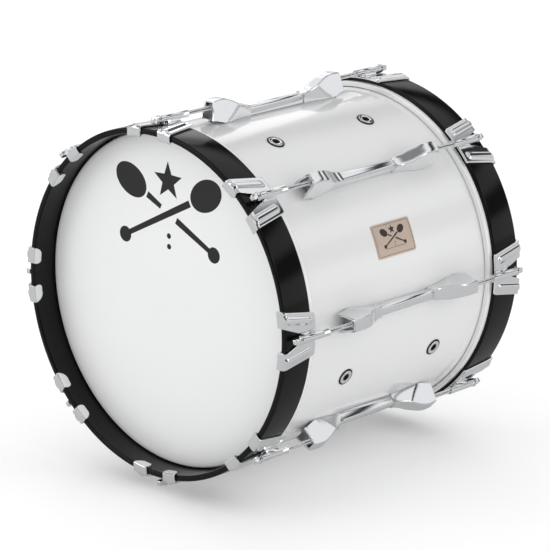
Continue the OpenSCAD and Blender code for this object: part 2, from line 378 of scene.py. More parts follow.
@dataclass(frozen=True)
class Plating:
    """Bright plated metal, with faint polishing marks and a slight haze."""

    name: str
    level: float = 0.9
    warmth: float = -0.012
    polish: float = 0.05
    haze: float = 0.06
    ripple: float = 0.03 * MM
    cloud_scale: float = 60.0
    mark_scale: float = 900.0
    mark_depth: float = 0.05
    shade: float = 0.94

    def make(self) -> bpy.types.Material:
        """Makes the material.

        Returns:
            The material.
        """
        shader = Shader(self.name)
        cloud = shader.noise(self.cloud_scale)
        marks = shader.noise(self.mark_scale, detail=2.0)
        darker = grey(self.level * self.shade, self.warmth)
        shader.dress(
            Base_Color=shader.mix(cloud + 0.5, darker, grey(self.level, self.warmth)),
            Metallic=1.0,
            Roughness=cloud * self.haze + marks * self.haze + self.polish,
        )
        shader.bump(cloud + marks * self.mark_depth, self.ripple)
        return shader.material


@dataclass(frozen=True)
class BoredPlating(Plating):
    """Plating on the carrier inserts, with painted shade in their threaded bores: dark, duller and
    less metallic there.
    """

    bore: float = 4.9 * MM
    soft: float = 0.2 * MM
    oil: float = 0.012
    oil_metallic: float = 0.1
    oil_roughness: float = 0.5

    def make(self) -> bpy.types.Material:
        """Makes the material.

        Returns:
            The material.
        """
        shader = Shader(self.name)
        x, y, z = shader.place()
        turn = math.radians(INSERT_ANGLE)
        cosine, sine = math.cos(turn), math.sin(turn)
        across = (x * cosine + z * sine).size().least((z * cosine - x * sine).size())
        along = y.size() - INSERT_PLACE
        # Painted shade: inside the bore's radius the plating is darkened, roughened and made less
        # metallic, standing in for the shade down the hole.
        outside = (across * across + along * along).root().above(self.bore, self.soft)
        cloud = shader.noise(self.cloud_scale)
        # The darkened colour is the bore's painted shade.
        shaded_bore, bright = grey(self.level * self.oil), grey(self.level, self.warmth)
        shader.dress(
            Base_Color=shader.mix(outside, shaded_bore, bright),
            Metallic=outside * (1.0 - self.oil_metallic) + self.oil_metallic,
            Roughness=cloud * self.haze + self.polish + (1.0 - outside) * self.oil_roughness,
        )
        shader.bump(cloud, self.ripple)
        return shader.material


@dataclass(frozen=True)
class Covering:
    """White gloss covering, with the faint orange peel of a laminated sheet."""

    name: str = "white_gloss_covering"
    level: float = 0.77
    roughness: float = 0.16
    coat: float = 0.6
    coat_roughness: float = 0.09
    peel: float = 0.012 * MM
    peel_scale: float = 420.0
    cloud_scale: float = 9.0
    lift: float = 1.04

    def make(self) -> bpy.types.Material:
        """Makes the material.

        Returns:
            The material.
        """
        shader = Shader(self.name)
        cloud = shader.noise(self.cloud_scale, detail=4.0)
        peel = shader.noise(self.peel_scale, detail=1.0)
        cool, bright = grey(self.level, -0.006), grey(self.level * self.lift)
        shader.dress(
            Base_Color=shader.mix(cloud + 0.5, cool, bright),
            Roughness=cloud * 0.05 + peel * 0.03 + self.roughness,
            Coat_Weight=self.coat,
            Coat_Roughness=self.coat_roughness,
        )
        shader.bump(peel, self.peel)
        return shader.material


@dataclass(frozen=True)
class Lacquer:
    """Black gloss lacquer over bent wood, whose grain just shows along the hoop."""

    name: str = "black_hoop_lacquer"
    level: float = 0.003
    roughness: float = 0.1
    gloss: float = 0.19
    grain: float = 0.012 * MM
    grain_along: float = 1.5
    grain_across: float = 160.0
    dust_scale: float = 700.0
    lift: float = 1.6

    def make(self) -> bpy.types.Material:
        """Makes the material.

        Returns:
            The material.
        """
        shader = Shader(self.name)
        x, y, z = shader.place()
        radius = (x * x + z * z).root()
        along = shader.vector(
            z.angle(x) * self.grain_along, y * self.grain_across, radius * self.grain_across
        )
        grain = shader.noise(1.0, detail=5.0, vector=along)
        dust = shader.noise(self.dust_scale, detail=2.0)
        warm, bright = grey(self.level, 0.05), grey(self.level * self.lift)
        shader.dress(
            Base_Color=shader.mix(grain + 0.5, warm, bright),
            Roughness=grain * 0.1 + dust * 0.05 + self.roughness,
            Specular_IOR_Level=self.gloss,
        )
        shader.bump(grain, self.grain)
        return shader.material


@dataclass(frozen=True)
class Film:
    """Smooth white drumhead film, a little darker where it bends at its edge: painted shade from
    the gap by the hoop.
    """

    name: str = "white_head_film"
    level: float = 0.85
    edge_radius: float = 200 * MM
    edge_soft: float = 2.5 * MM
    edge_shade: float = 0.86
    roughness: float = 0.3
    coat: float = 0.15
    coat_roughness: float = 0.2
    cloud_scale: float = 14.0
    tooth: float = 0.004 * MM
    tooth_scale: float = 1600.0
    lift: float = 1.03

    def make(self) -> bpy.types.Material:
        """Makes the material.

        Returns:
            The material.
        """
        shader = Shader(self.name)
        x, _, z = shader.place()
        radius = (x * x + z * z).root()
        cloud = shader.noise(self.cloud_scale, detail=4.0)
        tooth = shader.noise(self.tooth_scale, detail=1.0)
        # Painted shade: past the edge radius the film's colour is darkened, standing in for the
        # shade in the gap between head and hoop.
        edge = radius.above(self.edge_radius, self.edge_soft)
        cool, bright = grey(self.level, -0.008), grey(self.level * self.lift, -0.004)
        face = shader.mix(cloud + 0.5, cool, bright)
        shader.dress(
            Base_Color=shader.mix(edge, face, grey(self.level * self.edge_shade)),
            Roughness=cloud * 0.06 + tooth * 0.06 + self.roughness,
            Coat_Weight=self.coat,
            Coat_Roughness=self.coat_roughness,
        )
        shader.bump(tooth, self.tooth)
        return shader.material


@dataclass(frozen=True)
class SpunMetal:
    """Satin metal whose fine lines run round the drum's axis."""

    name: str = "spun_aluminium"
    level: float = 0.97
    roughness: float = 0.3
    metallic: float = 0.3
    lines_along: float = 4.0
    lines_across: float = 3000.0
    line_depth: float = 0.01 * MM
    cloud_scale: float = 40.0
    shade: float = 0.92

    def make(self) -> bpy.types.Material:
        """Makes the material.

        Returns:
            The material.
        """
        shader = Shader(self.name)
        x, y, z = shader.place()
        radius = (x * x + z * z).root()
        along = shader.vector(
            z.angle(x) * self.lines_along, y * self.lines_across, radius * self.lines_across
        )
        lines = shader.noise(1.0, vector=along)
        cloud = shader.noise(self.cloud_scale)
        shader.dress(
            Base_Color=shader.mix(lines + 0.5, grey(self.level * self.shade), grey(self.level)),
            Metallic=self.metallic,
            Roughness=lines * 0.14 + cloud * 0.08 + self.roughness,
        )
        shader.bump(lines, self.line_depth)
        return shader.material


@dataclass(frozen=True)
class Plies:
    """Bare birch plies, banded by their depth in the shell."""

    name: str = "birch_plies"
    inner_radius: float = 195.7 * MM
    ply: float = 1.25 * MM
    band_soft: float = 0.15
    pale: Colour = (0.62, 0.44, 0.25, 1.0)
    dark: Colour = (0.42, 0.26, 0.13, 1.0)
    roughness: float = 0.55
    fibre_depth: float = 0.05 * MM

    def make(self) -> bpy.types.Material:
        """Makes the material.

        Returns:
            The material.
        """
        shader = Shader(self.name)
        x, y, z = shader.place()
        radius = (x * x + z * z).root()
        depth = (radius - self.inner_radius) / self.ply
        band = depth.fold(1.0).above(0.5, self.band_soft)
        along = shader.vector(z.angle(x) * 5.0, y * 240.0, radius * 400.0)
        fibres = shader.noise(1.0, detail=5.0, vector=along)
        tone = fibres + band * 0.5 + 0.3
        shader.dress(
            Base_Color=shader.mix(tone, self.pale, self.dark),
            Roughness=fibres * 0.2 + self.roughness,
        )
        shader.bump(fibres, self.fibre_depth)
        return shader.material


@dataclass(frozen=True)
class Plain:
    """A moulded, printed or anodised surface with a fine tooth to it."""

    name: str
    colour: Colour
    roughness: float = 0.5
    metallic: float = 0.0
    tooth_scale: float = 900.0
    tooth: float = 0.02 * MM
    cloud_scale: float = 70.0
    spread: float = 0.12

    def make(self) -> bpy.types.Material:
        """Makes the material.

        Returns:
            The material.
        """
        shader = Shader(self.name)
        cloud = shader.noise(self.cloud_scale, detail=4.0)
        tooth = shader.noise(self.tooth_scale, detail=2.0)
        darker = tuple(part * (1 - self.spread) for part in self.colour[:3]) + (1.0,)
        shader.dress(
            Base_Color=shader.mix(cloud + 0.5, darker, self.colour),
            Metallic=self.metallic,
            Roughness=cloud * 0.1 + tooth * 0.1 + self.roughness,
        )
        shader.bump(tooth, self.tooth)
        return shader.material


class Palette:
    """Every finish on the drum, made once."""

    def __init__(self) -> None:
        """Makes the materials."""
        self.covering = Covering().make()
        self.film = Film().make()
        self.lacquer = Lacquer().make()
        self.spun = SpunMetal().make()
        self.plies = Plies().make()
        self.casting = Plating("chrome_casting", polish=0.1).make()
        self.web = Plating("dull_web", level=0.3, polish=0.3, haze=0.2).make()
        self.claw = Plating("chrome_claw", polish=0.07).make()
        self.rod = Plating("chrome_rod", polish=0.06, haze=0.05).make()
        self.insert = BoredPlating("chrome_insert").make()
        self.nut = Plating("plated_nut", level=0.8, warmth=0.03, polish=0.12).make()
        self.zinc = Plain("zinc_plate", grey(0.5, 0.01), 0.35, metallic=1.0).make()
        self.gasket = Plain("clear_gasket", grey(0.5), 0.45).make()
        self.ring = Plain("black_rubber", grey(0.003), 0.45).make()
        self.ink = Plain("black_ink", grey(0.006, -0.05), 0.3, tooth=0.004 * MM, spread=0.3).make()
        champagne = (0.66, 0.53, 0.44, 1.0)
        self.badge = Plain(
            "champagne_plate", champagne, 0.36, 0.45, tooth_scale=2400.0, tooth=0.006 * MM
        ).make()
        self.mark = Plain("etched_mark", (0.028, 0.022, 0.018, 1.0), 0.5).make()


# ---- meshes ------------------------------------------------------------------------


class Shape:
    """Mesh making that the sub-assemblies share."""

    @staticmethod
    def skin(
        rows: Sequence[Sequence[Vector]], loop_rows: bool, loop_points: bool
    ) -> bmesh.types.BMesh:
        """Stretches quads over rows of points.

        Args:
            rows: rows of equal length.
            loop_rows: whether the last row joins the first.
            loop_points: whether each row's last point joins its first.

        Returns:
            The mesh.
        """
        mesh = bmesh.new()
        grid = [[mesh.verts.new(point) for point in row] for row in rows]
        high, wide = len(rows), len(rows[0])
        for i in range(high if loop_rows else high - 1):
            for j in range(wide if loop_points else wide - 1):
                near, far = grid[i], grid[(i + 1) % high]
                k = (j + 1) % wide
                mesh.faces.new((near[j], near[k], far[k], far[j]))
        return mesh

    @staticmethod
    def tidy(mesh: bmesh.types.BMesh, reach: float = 1e-6) -> bmesh.types.BMesh:
        """Merges doubles, drops faces with no area and points the rest outwards.

        Args:
            mesh: the mesh, which is changed.
            reach: how close two points are to count as one.

        Returns:
            The same mesh.
        """
        bmesh.ops.remove_doubles(mesh, verts=mesh.verts, dist=reach)
        bmesh.ops.dissolve_degenerate(mesh, edges=mesh.edges, dist=reach)
        bmesh.ops.recalc_face_normals(mesh, faces=mesh.faces)
        return mesh

    @classmethod
    def capped(cls, rows: Sequence[Sequence[Vector]]) -> bmesh.types.BMesh:
        """Stretches a skin over closed rows and closes the first and the last of them.

        Args:
            rows: rows of points, each of which goes once round.

        Returns:
            The closed mesh.
        """
        mesh = cls.skin(rows, False, True)
        mesh.verts.ensure_lookup_table()
        wide = len(rows[0])
        for first in (0, (len(rows) - 1) * wide):
            mesh.faces.new([mesh.verts[first + j] for j in range(wide)])
        return cls.tidy(mesh)

    @staticmethod
    def both_sides(half: Sequence[Vector]) -> list[Vector]:
        """Joins half a section to its mirror image across the plane Z = 0."""
        return [*half, *[Vector((v.x, v.y, -v.z)) for v in reversed(half)]]

    @classmethod
    def turned(
        cls, profile: Sequence[Point], segments: int, closed: bool, axis: float = 0.0
    ) -> bmesh.types.BMesh:
        """Turns a profile round the drum's axis, or round a line along Y beside it.

        Args:
            profile: (radius, Y) points.
            segments: how many steps go round.
            closed: whether the profile's last point joins its first.
            axis: the line's distance from the drum's axis.

        Returns:
            The mesh.
        """
        rows = []
        for i in range(segments):
            a = 2 * math.pi * i / segments
            rows.append([Vector((r * math.cos(a), y, r * math.sin(a))) for r, y in profile])
        mesh = cls.tidy(cls.skin(rows, True, closed))
        bmesh.ops.translate(mesh, verts=mesh.verts, vec=(axis, 0, 0))
        return mesh

    @classmethod
    def spun(
        cls, profile: Sequence[Point], segments: int, place: Matrix, closed: bool = False
    ) -> bmesh.types.BMesh:
        """Turns a profile of (radius, height) points round place's Z axis.

        Args:
            profile: the points, from the lowest on the outside.
            segments: how many steps go round.
            place: where the profile is turned.
            closed: whether the profile's last point joins its first.

        Returns:
            The mesh.
        """
        mesh = cls.turned(profile, segments, closed)
        mesh.transform(place @ Matrix.Rotation(QUARTER_TURN, 4, "X"))
        bmesh.ops.recalc_face_normals(mesh, faces=mesh.faces)
        return mesh

    @staticmethod
    def join(meshes: Iterable[bmesh.types.BMesh]) -> bmesh.types.BMesh:
        """Puts several meshes in one, and frees them.

        Args:
            meshes: the meshes to put together.

        Returns:
            The one mesh.
        """
        whole = bmesh.new()
        for mesh in meshes:
            part = bpy.data.meshes.new("part")
            mesh.to_mesh(part)
            mesh.free()
            whole.from_mesh(part)
            bpy.data.meshes.remove(part)
        return whole

    @staticmethod
    def stored(name: str, mesh: bmesh.types.BMesh, crease: float = 35.0) -> bpy.types.Object:
        """Turns a bmesh into an object with smooth faces and sharp creases.

        Args:
            name: the object's name.
            mesh: its mesh, which is freed.
            crease: the angle in degrees past which an edge is sharp.

        Returns:
            The object, in the scene and at the origin.
        """
        data = bpy.data.meshes.new(name)
        mesh.to_mesh(data)
        mesh.free()
        piece = bpy.data.objects.new(name, data)
        bpy.context.scene.collection.objects.link(piece)
        Shape.smooth(piece, crease)
        return piece

    @staticmethod
    def smooth(piece: bpy.types.Object, crease: float = 35.0) -> None:
        """Smooths an object's faces, except across edges sharper than crease."""
        piece.data.polygons.foreach_set("use_smooth", [True] * len(piece.data.polygons))
        piece.data.set_sharp_from_angle(angle=math.radians(crease))

    @staticmethod
    def apply(piece: bpy.types.Object) -> bpy.types.Object:
        """Turns an object's modifiers into a plain mesh and removes them.

        Args:
            piece: the object, which is changed.

        Returns:
            The same object.
        """
        graph = bpy.context.evaluated_depsgraph_get()
        result = bpy.data.meshes.new_from_object(piece.evaluated_get(graph))
        old = piece.data
        piece.modifiers.clear()
        piece.data = result
        bpy.data.meshes.remove(old)
        return piece


class GeometryTree:
    """A Geometry Nodes tree that is built here, with named inputs."""

    def __init__(self, name: str) -> None:
        """Makes an empty tree with a geometry output.

        Args:
            name: the tree's name.
        """
        self.group = bpy.data.node_groups.new(name, "GeometryNodeTree")
        self.group.interface.new_socket(
            "Geometry", in_out="OUTPUT", socket_type="NodeSocketGeometry"
        )
        self.entry = None

    def input(self, name: str, kind: str) -> None:
        """Adds a named input of a socket type, such as NodeSocketFloat."""
        self.group.interface.new_socket(name, in_out="INPUT", socket_type=kind)

    def given(self, name: str) -> bpy.types.NodeSocket:
        """Gives the value of a named input."""
        if self.entry is None:
            self.entry = self.group.nodes.new("NodeGroupInput")
        return self.entry.outputs[name]

    def node(
        self, kind: str, settings: dict | None = None, inputs: dict | None = None
    ) -> bpy.types.Node:
        """Adds a node.

        Args:
            kind: the node's type.
            settings: its properties.
            inputs: values or sockets to link, by the input's name or number.

        Returns:
            The node.
        """
        made = self.group.nodes.new(kind)
        for key, value in (settings or {}).items():
            setattr(made, key, value)
        for key, value in (inputs or {}).items():
            for item in value if isinstance(value, list) else [value]:
                if isinstance(item, bpy.types.NodeSocket):
                    self.group.links.new(item, made.inputs[key])
                else:
                    made.inputs[key].default_value = item
        return made

    def math(self, operation: str, *values: object) -> bpy.types.NodeSocket:
        """Adds a Math node and gives its result."""
        inputs = dict(enumerate(values))
        return self.node("ShaderNodeMath", {"operation": operation}, inputs).outputs[0]

    def end(self, geometry: bpy.types.NodeSocket) -> None:
        """Ends the tree in a geometry."""
        exit_node = self.group.nodes.new("NodeGroupOutput")
        self.group.links.new(geometry, exit_node.inputs[0])

    def run(self, piece: bpy.types.Object, **values: object) -> bpy.types.Object:
        """Runs the tree on an object and keeps its result as a plain mesh.

        Args:
            piece: the object whose mesh the tree takes and replaces.
            values: the named inputs' values; an underscore stands for a space.

        Returns:
            The same object.
        """
        modifier = piece.modifiers.new(self.group.name, "NODES")
        modifier.node_group = self.group
        items = self.group.interface.items_tree
        identifiers = {item.name: item.identifier for item in items if item.in_out == "INPUT"}
        for key, value in values.items():
            modifier[identifiers[key.replace("_", " ")]] = value
        return Shape.apply(piece)


class Placing(GeometryTree):
    """Turns a fitting to its stations and mirrors it to its end or ends."""

    def __init__(self) -> None:
        """Builds the tree."""
        super().__init__("placing")
        self.input("Fitting", "NodeSocketGeometry")
        self.input("Places", "NodeSocketInt")
        self.input("First Angle", "NodeSocketFloat")
        self.input("Step", "NodeSocketFloat")
        self.input("Front", "NodeSocketBool")
        self.input("Rear", "NodeSocketBool")
        self.input("Material", "NodeSocketMaterial")
        fitting = self.given("Fitting")
        mirrored = self.node(
            "GeometryNodeTransform", inputs={"Geometry": fitting, "Scale": (1.0, -1.0, 1.0)}
        )
        flipped = self.node("GeometryNodeFlipFaces", inputs={"Mesh": mirrored.outputs[0]})
        front = self._kept(flipped.outputs[0], "Front")
        rear = self._kept(fitting, "Rear")
        both = self.node("GeometryNodeJoinGeometry", inputs={0: [front, rear]})
        points = self.node("GeometryNodePoints", inputs={"Count": self.given("Places")})
        index = self.node("GeometryNodeInputIndex").outputs[0]
        angle = self.math("MULTIPLY_ADD", index, self.given("Step"), self.given("First Angle"))
        turn = self.node(
            "ShaderNodeCombineXYZ", inputs={1: self.math("MULTIPLY", angle, -1.0)}
        ).outputs[0]
        rotation = self.node("FunctionNodeEulerToRotation", inputs={0: turn}).outputs[0]
        copies = self.node(
            "GeometryNodeInstanceOnPoints",
            inputs={"Points": points.outputs[0], "Instance": both.outputs[0], "Rotation": rotation},
        )
        real = self.node("GeometryNodeRealizeInstances", inputs={0: copies.outputs[0]})
        dressed = self.node(
            "GeometryNodeSetMaterial",
            inputs={"Geometry": real.outputs[0], "Material": self.given("Material")},
        )
        self.end(dressed.outputs[0])

    def _kept(self, geometry: bpy.types.NodeSocket, name: str) -> bpy.types.NodeSocket:
        """Passes a geometry on only if a named input is true.

        Args:
            geometry: the geometry.
            name: the input's name.

        Returns:
            The geometry, or none.
        """
        return self.node(
            "GeometryNodeSwitch",
            {"input_type": "GEOMETRY"},
            {"Switch": self.given(name), "True": geometry},
        ).outputs[0]


class Thread(GeometryTree):
    """A threaded bar along Y, closed at both ends, whose ridge is a helix."""

    def __init__(self) -> None:
        """Builds the tree, which bends a grid round the axis."""
        super().__init__("thread")
        self.input("Geometry", "NodeSocketGeometry")
        for name in ("Start", "Length", "Radius", "Depth", "Pitch", "Axis Radius"):
            self.input(name, "NodeSocketFloat")
        self.input("Rings", "NodeSocketInt")
        self.input("Sides", "NodeSocketInt")
        self.input("Material", "NodeSocketMaterial")
        grid = self.node(
            "GeometryNodeMeshGrid",
            inputs={
                "Size X": 1.0,
                "Size Y": 1.0,
                "Vertices X": self.given("Rings"),
                "Vertices Y": self.given("Sides"),
            },
        )
        place = self.node("GeometryNodeInputPosition").outputs[0]
        split = self.node("ShaderNodeSeparateXYZ", inputs={0: place})
        along = self.math("ADD", split.outputs[0], 0.5)
        turns = self.math("ADD", split.outputs[1], 0.5)
        length = self.math("MULTIPLY", along, self.given("Length"))
        lead = self.math("DIVIDE", length, self.given("Pitch"))
        wave = self.math("PINGPONG", self.math("ADD", lead, turns), 0.5)
        depth = self.math("MULTIPLY", self.math("MULTIPLY", wave, 2.0), self.given("Depth"))
        ridge = self.math("SUBTRACT", self.given("Radius"), depth)
        from_end = self.math("PINGPONG", along, 0.5)
        solid = self.math("GREATER_THAN", from_end, 1e-5)
        radius = self.math("MULTIPLY", ridge, solid)
        angle = self.math("MULTIPLY", turns, 2 * math.pi)
        axis = self.given("Axis Radius")
        out = self.math("MULTIPLY_ADD", radius, self.math("COSINE", angle), axis)
        side = self.math("MULTIPLY", radius, self.math("SINE", angle))
        reach = self.math("ADD", length, self.given("Start"))
        target = self.node("ShaderNodeCombineXYZ", inputs={0: out, 1: reach, 2: side}).outputs[0]
        bent = self.node(
            "GeometryNodeSetPosition", inputs={"Geometry": grid.outputs[0], "Position": target}
        )
        merged = self.node(
            "GeometryNodeMergeByDistance", inputs={"Geometry": bent.outputs[0], "Distance": 1e-6}
        )
        real = self.node("GeometryNodeRealizeInstances", inputs={0: merged.outputs[0]})
        dressed = self.node(
            "GeometryNodeSetMaterial",
            inputs={"Geometry": real.outputs[0], "Material": self.given("Material")},
        )
        self.end(dressed.outputs[0])


# ---- the drum's sizes --------------------------------------------------------------


@dataclass(frozen=True)
class Sizes:
    """The sizes that several sub-assemblies share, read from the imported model."""

    shell: float
    covering: float
    covering_end: float
    head_face: float
    hoop: float
    hoop_start: float
    hoop_end: float
    flesh: float
    flesh_start: float
    flesh_end: float
    claw_end: float
    tube_start: float
    rod_axis: float
    rod_start: float
    key_end: float
    lug_top: float
    bar: float
    floor: float
    hoop_thickness: float = 7.5 * MM
    tube_length: float = 46.0 * MM

    @classmethod
    def read(cls) -> Sizes:
        """Reads the sizes from the boxes of the CAD nodes.

        Returns:
            The sizes.
        """
        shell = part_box("shell")[1]
        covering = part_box("shell_wrap")[1]
        hoop_low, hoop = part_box("rear_hoop")
        flesh_low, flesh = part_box("rear_flesh_hoop")
        claw_low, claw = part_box("claw_rear_3")
        rod_low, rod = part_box("tension_rod_rear_3")
        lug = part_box("lug_3")[1]
        bars_low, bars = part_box("lug_bars")
        return cls(
            shell=shell.x,
            covering=covering.x,
            covering_end=covering.y,
            head_face=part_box("rear_head")[1].y,
            hoop=hoop.z,
            hoop_start=hoop_low.y,
            hoop_end=hoop.y,
            flesh=flesh.x,
            flesh_start=flesh_low.y,
            flesh_end=flesh.y,
            claw_end=claw.y,
            tube_start=claw_low.y,
            rod_axis=(rod_low.x + rod.x) / 2,
            rod_start=rod_low.y,
            key_end=rod.y,
            lug_top=lug.x,
            bar=bars.x,
            floor=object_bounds()[0][2],
        )


@dataclass
class Workshop:
    """What every sub-assembly works with, and how it hands in a piece."""

    sizes: Sizes
    finishes: Palette
    placing: Placing
    thread: Thread

    def place(
        self,
        name: str,
        fitting: bpy.types.Mesh,
        material: bpy.types.Material,
        ends: Sequence[End],
        first_angle: float,
        count: int = 1,
        step: float = -360.0 / STATIONS,
    ) -> bpy.types.Object:
        """Turns and mirrors a fitting into one piece.

        Args:
            name: the piece's name.
            fitting: the mesh, as drawn on the +X side and at the +Y end.
            material: its finish.
            ends: the ends of the drum that it is placed at.
            first_angle: the first place's angle in degrees, from +X towards +Z.
            count: how many places it has.
            step: the angle in degrees from one place to the next.

        Returns:
            The piece, at the origin.
        """
        piece = bpy.data.objects.new(name, fitting.copy())
        bpy.context.scene.collection.objects.link(piece)
        self.placing.run(
            piece,
            Places=count,
            First_Angle=math.radians(first_angle),
            Step=math.radians(step),
            Front=End.FRONT in ends,
            Rear=End.REAR in ends,
            Material=material,
        )
        return piece

    def hand_in(
        self,
        piece: bpy.types.Object,
        material: bpy.types.Material,
        slot: str,
        body: str = "drum",
        nodes: Sequence[str] = (),
    ) -> None:
        """Dresses a piece and ties it to its body.

        Args:
            piece: the finished piece.
            material: its finish.
            slot: a material slot's name; not used.
            body: the body that it rides on.
            nodes: the CAD nodes that it stands for.
        """
        piece.data.materials.clear()
        piece.data.materials.append(material)
        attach(piece, body)
        if nodes:
            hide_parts(*nodes)
        log.info("%s: %d faces, rides on %s", piece.name, len(piece.data.polygons), body)

    def dress_node(self, node: str, material: bpy.types.Material) -> None:
        """Gives a CAD node that keeps its shape a finish.

        Args:
            node: the node's name.
            material: its finish.
        """
        piece = bpy.data.objects[node]
        piece.data.materials.clear()
        piece.data.materials.append(material)
        log.info("%s: kept, in %s", node, material.name)


# ---- shell, heads and hoops --------------------------------------------------------


@dataclass
class Shell:
    """The ply shell and the covering glued round it."""

    shop: Workshop
    hole: float = 6.6 * MM
    hole_past: float = 10 * MM
    edge: float = 0.15 * MM
    segments: int = 360
    hole_segments: int = 64

    def build(self) -> None:
        """Makes the covering and dresses the plies."""
        sizes = self.shop.sizes
        end, inner, outer, edge = sizes.covering_end, sizes.shell, sizes.covering, self.edge
        profile = [
            (inner, -end), (outer - edge, -end), (outer, edge - end),
            (outer, end - edge), (outer - edge, end), (inner, end),
        ]
        piece = Shape.stored("gloss_covering", Shape.turned(profile, self.segments, True))
        cutter = self._cutter()
        modifier = piece.modifiers.new("holes", "BOOLEAN")
        modifier.object = cutter
        modifier.solver = "EXACT"
        Shape.apply(piece)
        bpy.data.objects.remove(cutter)
        self._round_normals(piece)
        self.shop.hand_in(piece, self.shop.finishes.covering, "wrap", nodes=["shell_wrap"])
        self.shop.dress_node("shell", self.shop.finishes.plies)

    def _cutter(self) -> bpy.types.Object:
        """Makes the pegs that cut the carrier inserts' holes.

        Returns:
            The pegs, as one object.
        """
        sizes = self.shop.sizes
        low, high = sizes.shell - self.hole_past, sizes.covering + self.hole_past
        peg = [(0, low), (self.hole, low), (self.hole, high), (0, high)]
        lay = Matrix.Rotation(QUARTER_TURN, 4, "Y")
        pegs = []
        for angle in (INSERT_ANGLE, INSERT_ANGLE + INSERT_STEP):
            for end in End:
                turn = Matrix.Rotation(-math.radians(angle), 4, "Y")
                shift = Matrix.Translation((0, end.value * INSERT_PLACE, 0))
                pegs.append(Shape.spun(peg, self.hole_segments, turn @ shift @ lay))
        return Shape.stored("pegs", Shape.join(pegs))

    @staticmethod
    def _round_normals(piece: bpy.types.Object) -> None:
        """Gives the covering's long faces the normals of a true cylinder.

        Args:
            piece: the covering, which is changed.
        """
        nearly_radial = 0.99
        mesh = piece.data
        normals = []
        for face in mesh.polygons:
            for loop in face.loop_indices:
                place = mesh.vertices[mesh.loops[loop].vertex_index].co
                radial = Vector((place.x, 0, place.z)).normalized()
                facing = face.normal.dot(radial)
                smooth = abs(facing) > nearly_radial
                normals.append(radial * math.copysign(1, facing) if smooth else face.normal)
        mesh.normals_split_custom_set(normals)


@dataclass
class Heads:
    """The two heads with their flesh hoops, and the counter hoops that hold them."""

    shop: Workshop
    film: float = 0.3 * MM
    bend: float = 3.2 * MM
    collar: float = 205.45 * MM
    collar_foot: float = 2.5 * MM
    flesh_in: float = 204.5 * MM
    flesh_corner: float = 1.4 * MM
    slot_gap: float = 0.2 * MM
    hoop_corner: float = 2.4 * MM
    steps: int = 8
    segments: int = 384

    def build(self) -> None:
        """Makes both ends' film, flesh hoop and counter hoop."""
        finishes = self.shop.finishes
        kinds = (
            ("drumhead", self._film(), finishes.film, "head_film", "head"),
            ("flesh_ring", self._flesh(), finishes.spun, "flesh_hoop_metal", "flesh_hoop"),
            ("counter_hoop", self._hoop(), finishes.lacquer, "hoop_lacquer", "hoop"),
        )
        for kind, profile, material, slot, node in kinds:
            for end in End:
                placed = [(r, y * end.value) for r, y in profile]
                mesh = Shape.turned(placed, self.segments, True)
                piece = Shape.stored(f"{end.word}_{kind}", mesh)
                self.shop.hand_in(piece, material, slot, nodes=[f"{end.word}_{node}"])

    def _film(self) -> list[Point]:
        """Gives the film's section, from its middle to its foot and back.

        Returns:
            The section's points.
        """
        top, foot = self.shop.sizes.head_face, self.shop.sizes.flesh_start + self.collar_foot
        outer = self.collar + self.film
        centre = (outer - self.bend, top - self.bend)
        middle = [i * centre[0] / self.steps for i in range(self.steps)]
        return [
            *[(r, top) for r in middle],
            *arc(centre, self.bend, 90, 0, self.steps),
            (outer, foot),
            (self.collar, foot),
            *arc(centre, self.bend - self.film, 0, 90, self.steps),
            *[(r, top - self.film) for r in reversed(middle)],
        ]

    def _flesh(self) -> list[Point]:
        """Gives the flesh hoop's section, with the slot that holds the film.

        Returns:
            The section's points.
        """
        sizes, corner = self.shop.sizes, self.flesh_corner
        low, high = (self.flesh_in, sizes.flesh_start), (sizes.flesh, sizes.flesh_end)
        foot = sizes.flesh_start + self.collar_foot - self.slot_gap
        near, far = self.collar - self.slot_gap, self.collar + self.film + self.slot_gap
        return [
            *arc((high[0] - corner, high[1] - corner), corner, 90, 0, 6),
            *arc((high[0] - corner, low[1] + corner), corner, 0, -90, 6),
            low,
            (low[0], high[1]),
            (near, high[1]),
            (near, foot),
            (far, foot),
            (far, high[1]),
        ]

    def _hoop(self) -> list[Point]:
        """Gives the counter hoop's section."""
        sizes = self.shop.sizes
        low = (sizes.hoop - sizes.hoop_thickness, sizes.hoop_start)
        return rounded_box(low, (sizes.hoop, sizes.hoop_end), self.hoop_corner, self.steps)


# ---- claws and tension rods --------------------------------------------------------


